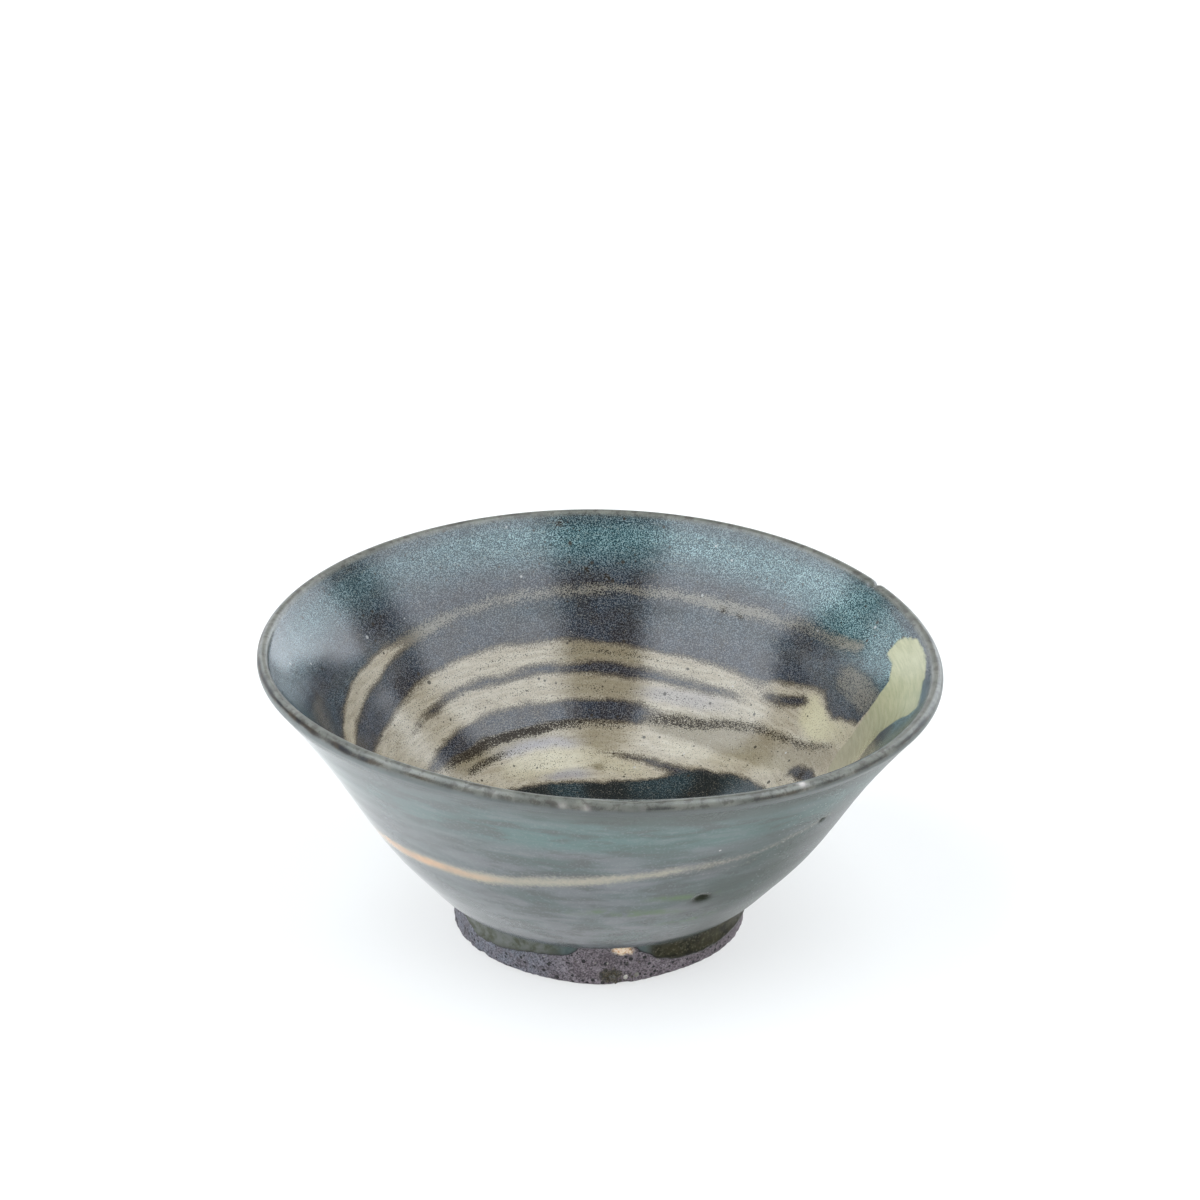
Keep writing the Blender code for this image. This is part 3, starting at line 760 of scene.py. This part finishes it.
def foot_outline():
    """Radius and height round the foot's section, from the top of its outside to that of its inside."""
    outside = foot_radius(0.7)
    inside = RING_HOLE + 0.35
    down = np.linspace(FOOT_HEIGHT, 0.8, 22)
    up = np.linspace(0.8, FOOT_HEIGHT, 14)
    turn = np.radians(np.linspace(0.0, 90.0, 7))
    return np.vstack((
        section(foot_radius(down), down),
        section(outside - 0.4 + 0.4 * np.cos(turn), 0.4 - 0.4 * np.sin(turn)),
        section(np.linspace(outside - 0.75, inside + 0.7, 14), 0.0),
        section(inside + 0.5 - 0.5 * np.sin(turn), 0.6 - 0.6 * np.cos(turn)),
        section(RING_HOLE + 0.4 * (1 - up / FOOT_HEIGHT), up),
        section(np.linspace(RING_HOLE + 0.4, FOOT_TOP_RADIUS - 0.2, 8), FOOT_HEIGHT),
    ))


# Flats of the foot's lower edge, as angle, reach and depth, and the marks on its front
FOOT_FLATS = ((-60, 22, 0.35), (-128, 20, 0.2), (-86, 14, -0.45))
FLECK_ANGLE = -81.2
FLECK_HEIGHT = 4.5
STAIN_ANGLE = -86.0
STAIN_HEIGHT = 1.3


def foot_waver(angles, heights):
    """How far the foot's lower edge stands out, or in where it has a flat."""
    waver = 0.1 * np.cos(np.radians(2 * angles - 40.0))
    for angle, reach, depth in FOOT_FLATS:
        waver = waver - depth * bump_at(turned_from(angle, angles), 0.0, reach)
    return waver * smooth_step(3.2, 0.2, heights)


def paint_foot(smooth, angles, heights):
    """Paint channels of the foot: a bright fleck, a rusty stain and a bluish painted highlight on the left.
    """
    sideways = np.radians(angles - FLECK_ANGLE) * FOOT_TOP_RADIUS
    shape = (sideways / 1.25) ** 2 + ((heights - FLECK_HEIGHT) / 0.62) ** 2 + 0.9 * lumps(smooth, 0.7, 91.0)
    sideways = np.radians(angles - STAIN_ANGLE) * FOOT_TOP_RADIUS
    stain = np.exp(-((sideways / 1.5) ** 2) - ((heights - STAIN_HEIGHT) / 0.9) ** 2)
    ragged = 0.45 * lumps(smooth, 0.6, 97.0) * smooth_step(0.05, 0.4, stain)
    paint = {
        "fleck": smooth_step(1.25, 0.65, shape),
        "stain": smooth_step(0.2, 0.7, stain + ragged),
        # a bluish painted highlight on the left
        "painted_left_highlight": soft_stretch(angles, -185.0, -165.0, -125.0, -95.0),
    }
    return spread(paint, shape.shape)


def make_foot():
    """The bare turned foot, with gritty skin, a wavering outline and worn edges."""
    points = foot_outline()
    radii, heights = points[:, :1], points[:, 1:]
    angles = turns_round(FOOT_COLUMNS)
    smooth = spun(radii, heights, angles)
    grit = 0.085 * lumps(smooth, 0.5, 61.0) + 0.07 * lumps(smooth, 1.3, 67.0)
    grit += 0.05 * lumps(smooth, 4.0, 71.0)
    chips = 0.5 * np.clip(lumps(smooth, 2.2, 83.0) - 0.25, 0.0, 1.0) * bump_at(heights, 0.2, 0.45)
    is_under = heights < 0.01
    swell = np.where(radii > FOOT_TOP_RADIUS - RING_WIDTH / 2, foot_swell(angles), 0.0)
    out = np.where(is_under, 0.0, grit) + foot_waver(angles, heights) + swell - chips
    rise = np.where(is_under, np.clip(grit, 0.0, 0.1), 0.0) + 0.5 * chips
    rows = spun(radii + out, np.maximum(heights + rise, 0.0), angles)
    skin = make_skin("gritty_foot", rows, True, paint_foot(smooth, angles, heights))
    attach(skin, "root")
    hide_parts("foot_ring")
    return skin


# Stones in the foot's skin, as angle, height, radius and paleness
GRIT_CLUSTER = (
    (-85.3, 0.95, 0.56, 0.05), (-88, 1.6, 0.3, 0.1), (-87.6, 0.6, 0.24, 0.3), (-83.4, 1.6, 0.28, 0.1),
    (-84.2, 0.4, 0.22, 0.2), (-82.4, 0.6, 0.18, 0.3), (-80.4, 0.95, 0.3, 0.9), (-75.9, 1, 0.32, 0.55),
    (-77.6, 0.8, 0.16, 0.3), (-78.6, 1.2, 0.14, 0.2),
)
GRIT_COUNT = 56
GOLDEN_TURN = 137.508
STONE_RINGS = 7
STONE_COLUMNS = 10


def grit_places():
    """The listed stones in front, and others scattered evenly all round."""
    scattered = []
    for number in range(GRIT_COUNT):
        angle = number * GOLDEN_TURN % 360 - 180
        height = 0.45 + 3.2 * (number * 0.618 % 1)
        radius = 0.10 + 0.14 * (number * 0.379 % 1)
        scattered.append((angle, height, radius, 0.7 * (number * 0.733 % 1)))
    return GRIT_CLUSTER + tuple(scattered)


def make_grit():
    """Small stones that stand out of the foot's bare skin."""
    tilt = column(np.linspace(0.12, math.pi - 0.12, STONE_RINGS))
    ball = spun(np.sin(tilt), np.cos(tilt), turns_round(STONE_COLUMNS) + 180.0)
    size = STONE_RINGS * STONE_COLUMNS
    ends = [range(STONE_COLUMNS), range(size - 1, size - STONE_COLUMNS - 1, -1)]
    stone_faces = grid_faces(STONE_RINGS, STONE_COLUMNS, False) + ends
    stones, faces, tones = [], [], []
    for number, (angle, height, radius, tone) in enumerate(grit_places()):
        sunk = foot_radius(height) + foot_swell(angle) + foot_waver(angle, height) - 0.35 * radius
        centre = spun(sunk, max(height, radius + 0.06), angle)
        uneven = radius * (1 + 0.35 * lumps(ball, 0.9, 3.0 * number))
        stones.append((ball * uneven[..., None] + centre).reshape(-1, 3))
        faces += [[corner + number * size for corner in face] for face in stone_faces]
        tones += [tone] * size
    grit = add_object("foot_grit", np.vstack(stones), faces)
    add_channel(grit.data, "tone", np.array(tones)[:, None])
    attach(grit, "root")
    return grit


# Materials
# The colour of the painted light on the left of the outer glaze
PAINTED_LIGHT_GLAZE = (0.180, 0.188, 0.184)


def is_socket(value):
    return isinstance(value, bpy.types.NodeSocket)


def add_node(kind, inputs, tree=None, **settings):
    """A new node in the tree given, or else in the tree of the sockets among its inputs."""
    tree = tree or next(value.id_data for value in inputs.values() if is_socket(value))
    node = tree.nodes.new(kind)
    for name, value in settings.items():
        setattr(node, name, value)
    for name, value in inputs.items():
        if is_socket(value):
            tree.links.new(value, node.inputs[name])
        else:
            node.inputs[name].default_value = (*value, 1.0) if isinstance(value, tuple) else value
    return node


def new_material(name):
    material = bpy.data.materials.new(name)
    material.use_nodes = True
    tree = material.node_tree
    return material, tree, tree.nodes["Principled BSDF"]


def feed(shader, inputs):
    """Links values to a shader's inputs."""
    for name, value in inputs.items():
        shader.id_data.links.new(value, shader.inputs[name])


def channel(tree, name, output="Fac"):
    return add_node("ShaderNodeAttribute", {}, tree, attribute_name=name).outputs[output]


def object_place(tree):
    return add_node("ShaderNodeTexCoord", {}, tree).outputs["Object"]


def calculate(operation, first, second):
    return add_node("ShaderNodeMath", {0: first, 1: second}, operation=operation).outputs[0]


def plus(first, second):
    return calculate("ADD", first, second)


def minus(first, second):
    return calculate("SUBTRACT", first, second)


def times(first, second):
    return calculate("MULTIPLY", first, second)


def larger(first, second):
    return calculate("MAXIMUM", first, second)


def mix(share, first, second):
    return add_node("ShaderNodeMix", {0: share, 6: first, 7: second}, data_type="RGBA").outputs[2]


def layered(colour, *coats):
    """A colour with others laid over it in turn, each by its own share."""
    for share, coat in coats:
        colour = mix(share, colour, coat)
    return colour


def ramp(value, low, high, to_low=0.0, to_high=1.0):
    inputs = {"Value": value, "From Min": low, "From Max": high, "To Min": to_low, "To Max": to_high}
    return add_node("ShaderNodeMapRange", inputs, interpolation_type="SMOOTHSTEP").outputs["Result"]


def cloud(place, size, detail=2.0, roughness=0.5):
    """Chance variation from 0 to 1, of a given size in the place's own units."""
    inputs = {"Vector": place, "Scale": 1.0 / size, "Detail": detail, "Roughness": roughness}
    return add_node("ShaderNodeTexNoise", inputs).outputs["Fac"]


def specks(place, spacing, size, share):
    """Small round specks: their cell size, their radius and the share of cells that hold one."""
    inputs = {"Vector": place, "Scale": 1.0 / (spacing * MM), "Randomness": 1.0}
    cells = add_node("ShaderNodeTexVoronoi", inputs)
    chosen = add_node("ShaderNodeSeparateColor", {"Color": cells.outputs["Color"]})
    has_one = calculate("LESS_THAN", chosen.outputs[0], share)
    reach = times(chosen.outputs[1], size / spacing)
    return times(has_one, calculate("LESS_THAN", cells.outputs["Distance"], reach))


def bumpy(height, distance):
    """The normal of a skin with fine relief."""
    inputs = {"Height": height, "Distance": distance, "Strength": 1.0}
    return add_node("ShaderNodeBump", inputs).outputs["Normal"]


def glaze_finish(shader, grain, colour, soft_part, unshiny):
    """Glossy glaze with a fine orange-peel skin, duller on its soft part, with some shine taken off."""
    feed(shader, {
        "Base Color": colour,
        "Roughness": plus(ramp(grain, 0.3, 0.7, 0.02, 0.04), times(soft_part, 0.26)),
        "Normal": bumpy(grain, 0.012 * MM),
        "Specular IOR Level": minus(0.5, unshiny),
    })


def shaken(amount, grain, drift, much):
    """A soft amount made uneven by grain and drift, ready to be cut into crisp grains."""
    stipple = times(minus(grain, 0.5), much)
    streaky = times(minus(drift, 0.5), 0.4)
    return plus(amount, plus(stipple, streaky))


def inside_dark(tree, grain, soft):
    """Dark glaze with pale crystals, blue-green towards the rim."""
    teal = channel(tree, "teal")
    pool = channel(tree, "pool")
    dark = mix(ramp(soft, 0.35, 0.70), (0.014, 0.011, 0.012), (0.011, 0.015, 0.023))
    dark = layered(dark, (pool, (0.005, 0.007, 0.006)), (teal, (0.011, 0.033, 0.040)))
    sparkle = mix(teal, (0.28, 0.295, 0.325), (0.37, 0.55, 0.55))
    density = minus(plus(times(teal, 0.25), 0.27), times(pool, 0.23))
    density = times(density, ramp(soft, 0.3, 0.6, 0.75, 1.1))
    return mix(times(ramp(grain, 0.50, 0.57), density), dark, sparkle)


def lip_edge_colour(tree, place):
    """The outer glaze where it meets the lip, so that both coats have one colour there."""
    soft = cloud(place, 3.0 * MM, 4.0, 0.6)
    return layered(
        mix(ramp(soft, 0.4, 0.62), (0.082, 0.094, 0.089), (0.112, 0.124, 0.117)),
        # painted light on the left
        (channel(tree, "painted_light"), PAINTED_LIGHT_GLAZE),
        # darker under the lip, and on the outer coat also the painted shade on the right
        (channel(tree, "shade"), (0.036, 0.044, 0.040)),
    )


def lip_colour(place, soft):
    """Thin glaze over the lip, mottled with brown."""
    mottle = cloud(place, 0.8 * MM, 3.0, 0.6)
    return layered(
        mix(ramp(soft, 0.35, 0.65), (0.086, 0.086, 0.070), (0.136, 0.132, 0.108)),
        (ramp(mottle, 0.50, 0.60, 0.0, 0.7), (0.042, 0.034, 0.026)),
    )


def inside_cream(tree, grain, drift):
    """Pale clay under the glaze, with tan, white and grey parts and dark grains."""
    return layered(
        mix(ramp(drift, 0.3, 0.7), (0.268, 0.223, 0.157), (0.358, 0.312, 0.236)),
        (channel(tree, "bright"), (0.415, 0.368, 0.232)),
        (channel(tree, "haze"), (0.215, 0.20, 0.215)),
        (channel(tree, "olive"), (0.14, 0.109, 0.058)),
        (ramp(grain, 0.58, 0.70, 0.0, 0.3), (0.46, 0.42, 0.34)),
        (ramp(grain, 0.45, 0.36, 0.0, 0.5), (0.085, 0.068, 0.045)),
    )


def patch_colour(tree, grain, drift):
    """The pale run from the rim: greenish above and cream below."""
    green = mix(ramp(drift, 0.35, 0.65), (0.288, 0.280, 0.158), (0.348, 0.332, 0.198))
    return layered(
        mix(ramp(drift, 0.3, 0.7), (0.24, 0.215, 0.140), (0.29, 0.262, 0.175)),
        (channel(tree, "green"), green),
        (ramp(grain, 0.42, 0.34, 0.0, 0.35), (0.16, 0.15, 0.09)),
    )


def inside_material():
    material, tree, shader = new_material("inside_glaze_look")
    place = object_place(tree)
    grain = cloud(place, 0.14 * MM, 2.2, 0.6)
    drift = cloud(channel(tree, "flow", "Vector"), 0.5, 3.0, 0.6)
    soft = cloud(place, 2.5 * MM, 3.0, 0.55)

    def uneven(name, much):
        return shaken(channel(tree, name), grain, drift, much)

    pale = uneven("pale", 1.5)
    dry = ramp(uneven("brown", -3.2), 0.36, 0.68, 0.0, 0.95)
    iron = larger(specks(place, 1.3, 0.27, 0.3), specks(place, 0.7, 0.16, 0.3))
    lip = channel(tree, "lip")
    bare = channel(tree, "thin")
    bare_clay = mix(ramp(soft, 0.4, 0.62), (0.014, 0.013, 0.014), (0.042, 0.031, 0.020))
    colour = layered(
        inside_dark(tree, grain, soft),
        (ramp(uneven("tan", 3.0), 0.3, 0.75, 0.0, 0.85), (0.208, 0.186, 0.146)),
        (ramp(pale, 0.08, 0.5), (0.095, 0.076, 0.052)),
        (ramp(pale, 0.38, 0.88), inside_cream(tree, grain, drift)),
        (dry, (0.018, 0.013, 0.009)),
        (times(iron, 0.85), (0.026, 0.019, 0.012)),
        (ramp(uneven("patch", 1.0), 0.1, 0.9), patch_colour(tree, grain, drift)),
        (times(specks(place, 2.0, 0.24, 0.25), 0.6), (0.38, 0.37, 0.35)),
        (times(lip, 0.92), lip_colour(place, soft)),
        (channel(tree, "outer"), lip_edge_colour(tree, place)),
        (ramp(shaken(bare, grain, drift, 0.8), 0.15, 0.7), bare_clay),
        # pale knocks on the lip, and a painted glint on its front right
        (channel(tree, "knock_and_glint"), (0.50, 0.45, 0.42)),
    )
    glaze_finish(shader, grain, colour, lip, times(larger(dry, bare), 0.45))
    return material


def run_colour(tree, place, grain, soft):
    """Glaze that ran over the foot: thin and grey on one side, partly a painted reflection, and thick and
    dark on the other, partly painted shade.
    """
    fine = cloud(place, 0.9 * MM, 3.0, 0.6)
    # the grey side, partly a painted reflection
    grey = layered(
        mix(ramp(fine, 0.38, 0.62), (0.062, 0.063, 0.042), (0.116, 0.121, 0.104)),
        (ramp(soft, 0.42, 0.62, 0.0, 0.5), (0.140, 0.143, 0.130)),
    )
    thick_and_shaded = layered(
        mix(ramp(soft, 0.38, 0.62), (0.009, 0.008, 0.004), (0.034, 0.030, 0.015)),
        (ramp(fine, 0.52, 0.66, 0.0, 0.6), (0.052, 0.048, 0.028)),
        (ramp(grain, 0.56, 0.66, 0.0, 0.6), (0.10, 0.092, 0.060)),
    )
    return layered(
        grey,
        # the dark side, partly painted shade
        (channel(tree, "thick_run_and_shade"), thick_and_shaded),
        (times(channel(tree, "tip"), 0.7), (0.060, 0.088, 0.090)),
        # painted shadow: a dark line where the bead meets the foot
        (times(channel(tree, "edge"), 0.9), (0.010, 0.010, 0.008)),
    )


def outside_material():
    material, tree, shader = new_material("outside_glaze_look")
    place = object_place(tree)
    flow = channel(tree, "flow", "Vector")
    grain = cloud(place, 0.32 * MM, 1.5, 0.6)
    drift = cloud(flow, 1.5, 3.0, 0.55)
    soft = cloud(place, 3.0 * MM, 4.0, 0.6)
    rim = channel(tree, "rim")
    dull = channel(tree, "dull")
    clay = layered(
        mix(channel(tree, "warm"), (0.30, 0.265, 0.20), (0.56, 0.33, 0.18)),
        (ramp(soft, 0.4, 0.7, 0.0, 0.45), (0.21, 0.19, 0.15)),
    )
    colour = layered(
        mix(channel(tree, "teal"), (0.118, 0.112, 0.116), (0.078, 0.128, 0.116)),
        (ramp(cloud(flow, 3.0, 2.5, 0.5), 0.40, 0.64, 0.0, 0.75), (0.048, 0.076, 0.066)),
        (ramp(drift, 0.48, 0.64, 0.0, 0.7), (0.064, 0.064, 0.062)),
        (ramp(drift, 0.46, 0.32, 0.0, 0.4), (0.145, 0.155, 0.152)),
        (ramp(grain, 0.54, 0.66, 0.0, 0.25), (0.17, 0.20, 0.195)),
        # painted light on the left of the wall
        (channel(tree, "painted_light"), PAINTED_LIGHT_GLAZE),
        # darker on the right, partly painted shade, and darker under the lip
        (channel(tree, "shade"), (0.036, 0.046, 0.037)),
        (times(channel(tree, "olive"), ramp(soft, 0.4, 0.58)), (0.062, 0.105, 0.036)),
        (ramp(shaken(channel(tree, "pale"), grain, drift, 0.7), 0.1, 1.0), clay),
        (channel(tree, "run"), run_colour(tree, place, grain, soft)),
        (rim, lip_edge_colour(tree, place)),
        (channel(tree, "dark"), (0.018, 0.020, 0.012)),
        (times(specks(place, 3.2, 0.3, 0.2), 0.6), (0.45, 0.44, 0.40)),
    )
    glaze_finish(shader, grain, colour, larger(rim, dull), times(dull, 0.42))
    return material


def clay_material(name, has_marks):
    """Bare gritty clay. The foot's has its painted marks too, and a bluish painted highlight on the left.
    """
    material, tree, shader = new_material(name)
    place = object_place(tree)
    grain = cloud(place, 0.22 * MM, 3.0, 0.65)
    soft = cloud(place, 1.6 * MM, 4.0, 0.6)
    holes = larger(specks(place, 0.55, 0.27, 0.5), specks(place, 1.0, 0.3, 0.3))
    colour = mix(ramp(soft, 0.3, 0.7), (0.108, 0.083, 0.090), (0.208, 0.170, 0.183))
    if has_marks:
        # a bluish painted highlight on the left of the foot
        painted_left_highlight = times(channel(tree, "painted_left_highlight"), ramp(soft, 0.35, 0.6, 0.3, 0.9))
        colour = mix(painted_left_highlight, colour, (0.150, 0.160, 0.190))
    colour = layered(
        colour,
        (ramp(grain, 0.53, 0.40, 0.0, 0.85), (0.024, 0.018, 0.018)),
        (ramp(grain, 0.56, 0.68, 0.0, 0.7), (0.33, 0.285, 0.295)),
        (holes, (0.012, 0.010, 0.010)),
    )
    if has_marks:
        rust = mix(ramp(grain, 0.42, 0.66), (0.014, 0.012, 0.007), (0.095, 0.076, 0.042))
        fleck = mix(ramp(grain, 0.36, 0.58), (0.60, 0.30, 0.12), (0.86, 0.70, 0.52))
        colour = layered(colour, (channel(tree, "stain"), rust), (channel(tree, "fleck"), fleck))
    feed(shader, {
        "Base Color": colour,
        "Roughness": ramp(grain, 0.3, 0.7, 0.55, 0.85),
        "Normal": bumpy(minus(grain, times(holes, 0.6)), 0.12 * MM),
    })
    return material


def grit_material():
    """Stones from dark iron to pale quartz."""
    material, tree, shader = new_material("grit_look")
    grain = cloud(object_place(tree), 0.12 * MM, 2.0)
    stone = layered(
        mix(ramp(channel(tree, "tone"), 0.3, 0.9), (0.022, 0.020, 0.013), (0.44, 0.41, 0.36)),
        (ramp(grain, 0.4, 0.65, 0.0, 0.6), (0.12, 0.09, 0.055)),
    )
    feed(shader, {"Base Color": stone, "Roughness": ramp(grain, 0.3, 0.7, 0.25, 0.5)})
    return material


# Studio: a round white sweep, soft boxes overhead and round the back, a card, and the camera
SWEEP_RADIUS = 1600.0
SWEEP_ROUND = 300.0
SWEEP_HEIGHT = 560.0
SWEEP_BACK_RISE = 620.0
FLOOR_DROP = 0.02
BOX_HEIGHT = 1000.0
BOX_COLOUR = (0.86, 0.93, 1.0)
WORLD_COLOUR = (0.95, 0.98, 1.0, 1.0)
WORLD_GLOW = 0.2
CAMERA_PLACE = (-0.06, -361.85, 204.49)
CAMERA_TILT = 65.612
CAMERA_LENS = 105.03
CAMERA_NEAREST = 10.0


def overhead(*corners):
    """Corners of a level light above the cup."""
    return [(x, y, BOX_HEIGHT) for x, y in corners]


def upright(first, second):
    """Corners of a standing light, as high at each end as that end stands behind the cup."""
    return [(*first, 0.0), (*second, 0.0), (*second, second[1]), (*first, first[1])]


# Lights, as name, strength and corners
LEFT_BOX = overhead((-140, 100), (-500, -1400), (-1900, -1400), (-2600, -600), (-1150, 470), (-300, 250))
RIGHT_BOX = overhead((80, 300), (500, -1400), (2600, -1400), (2600, 0), (500, 380))
LEFT_CARD = ((-1250, -720, 0), (-1400, 360, 0), (-1400, 360, 450), (-1250, -720, 450))
SOFT_BOXES = (
    ("left_soft_box", 4.6, LEFT_BOX),
    ("right_soft_box", 3.8, RIGHT_BOX),
    ("near_fill", 3.7, upright((1310, 730), (1150, 960))),
    ("far_fill", 3.4, upright((1150, 960), (510, 1410))),
    ("back_left_fill", 1.8, upright((-1230, 860), (-390, 1450))),
    ("left_card", 2.8, LEFT_CARD),
)


def sweep_material():
    """White for sight and reflections, with the cup's shadow on it, and plain paper for other light."""
    material, tree, shader = new_material("white_sweep")
    paper = mix(cloud(object_place(tree), 0.05, 2.0), (0.80, 0.80, 0.80), (0.82, 0.82, 0.82))
    feed(shader, {"Base Color": paper})
    shader.inputs["Roughness"].default_value = 0.9
    shader.inputs["Specular IOR Level"].default_value = 0.0
    shade = add_node("ShaderNodeBsdfDiffuse", {"Color": (0.40, 0.395, 0.382)}, tree)
    glow = add_node("ShaderNodeEmission", {"Color": (1.0, 1.0, 1.0), "Strength": 0.52}, tree)
    seen = add_node("ShaderNodeAddShader", {0: shade.outputs[0], 1: glow.outputs[0]})
    path = add_node("ShaderNodeLightPath", {}, tree).outputs
    sight = larger(path["Is Camera Ray"], path["Is Glossy Ray"])
    sight = larger(sight, path["Is Transmission Ray"])
    both = add_node("ShaderNodeMixShader", {0: sight, 1: shader.outputs[0], 2: seen.outputs[0]})
    feed(tree.nodes["Material Output"], {"Surface": both.outputs[0]})
    return material


def make_sweep():
    """The floor, which curves up into a low round wall, higher at the back."""
    turn = np.radians(np.linspace(0.0, 90.0, 13))
    bend_radii = SWEEP_RADIUS - SWEEP_ROUND + SWEEP_ROUND * np.sin(turn)
    bend = section(bend_radii, SWEEP_ROUND - SWEEP_ROUND * np.cos(turn))
    points = np.vstack((section((2.0, 60.0, 400.0), 0.0), bend, (SWEEP_RADIUS, SWEEP_HEIGHT)))
    angles = turns_round(SWEEP_COLUMNS)
    rows = spun(points[:, :1], points[:, 1:] - FLOOR_DROP, angles)
    rows[-1:, :, 2] += SWEEP_BACK_RISE * bump_at(angles, 90.0, 38.0)
    faces = grid_faces(len(points), SWEEP_COLUMNS, False) + [range(SWEEP_COLUMNS)]
    sweep = add_object("sweep", rows.reshape(-1, 3), faces)
    sweep.data.materials.append(sweep_material())


def glow_material(name, strength):
    material, tree, _ = new_material(name)
    glow = add_node("ShaderNodeEmission", {"Color": BOX_COLOUR, "Strength": strength}, tree)
    feed(tree.nodes["Material Output"], {"Surface": glow.outputs[0]})
    return material


def make_soft_box(name, strength, corners):
    """A flat light with the given corners, out of the camera's sight."""
    box = add_object(name, corners, [range(len(corners))])
    box.data.materials.append(glow_material(name + "_glow", strength))
    box.visible_camera = False


def make_world():
    world = bpy.data.worlds.new("studio")
    world.use_nodes = True
    background = world.node_tree.nodes["Background"]
    background.inputs["Color"].default_value = WORLD_COLOUR
    background.inputs["Strength"].default_value = WORLD_GLOW
    bpy.context.scene.world = world


def make_camera():
    camera_data = bpy.data.cameras.new("camera")
    camera_data.lens = CAMERA_LENS
    camera_data.clip_start = CAMERA_NEAREST * MM
    camera = bpy.data.objects.new("camera", camera_data)
    camera.location = [length * MM for length in CAMERA_PLACE]
    camera.rotation_euler = (math.radians(CAMERA_TILT), 0.0, 0.0)
    bpy.context.scene.collection.objects.link(camera)
    bpy.context.scene.camera = camera


def make_studio():
    make_sweep()
    for name, strength, corners in SOFT_BOXES:
        make_soft_box(name, strength, corners)
    make_world()
    make_camera()
    bpy.context.scene.view_settings.view_transform = "Standard"


make_inside().data.materials.append(inside_material())
make_outside().data.materials.append(outside_material())
make_body().data.materials.append(clay_material("bowl_clay", False))
make_foot().data.materials.append(clay_material("foot_clay_look", True))
make_grit().data.materials.append(grit_material())
make_studio()
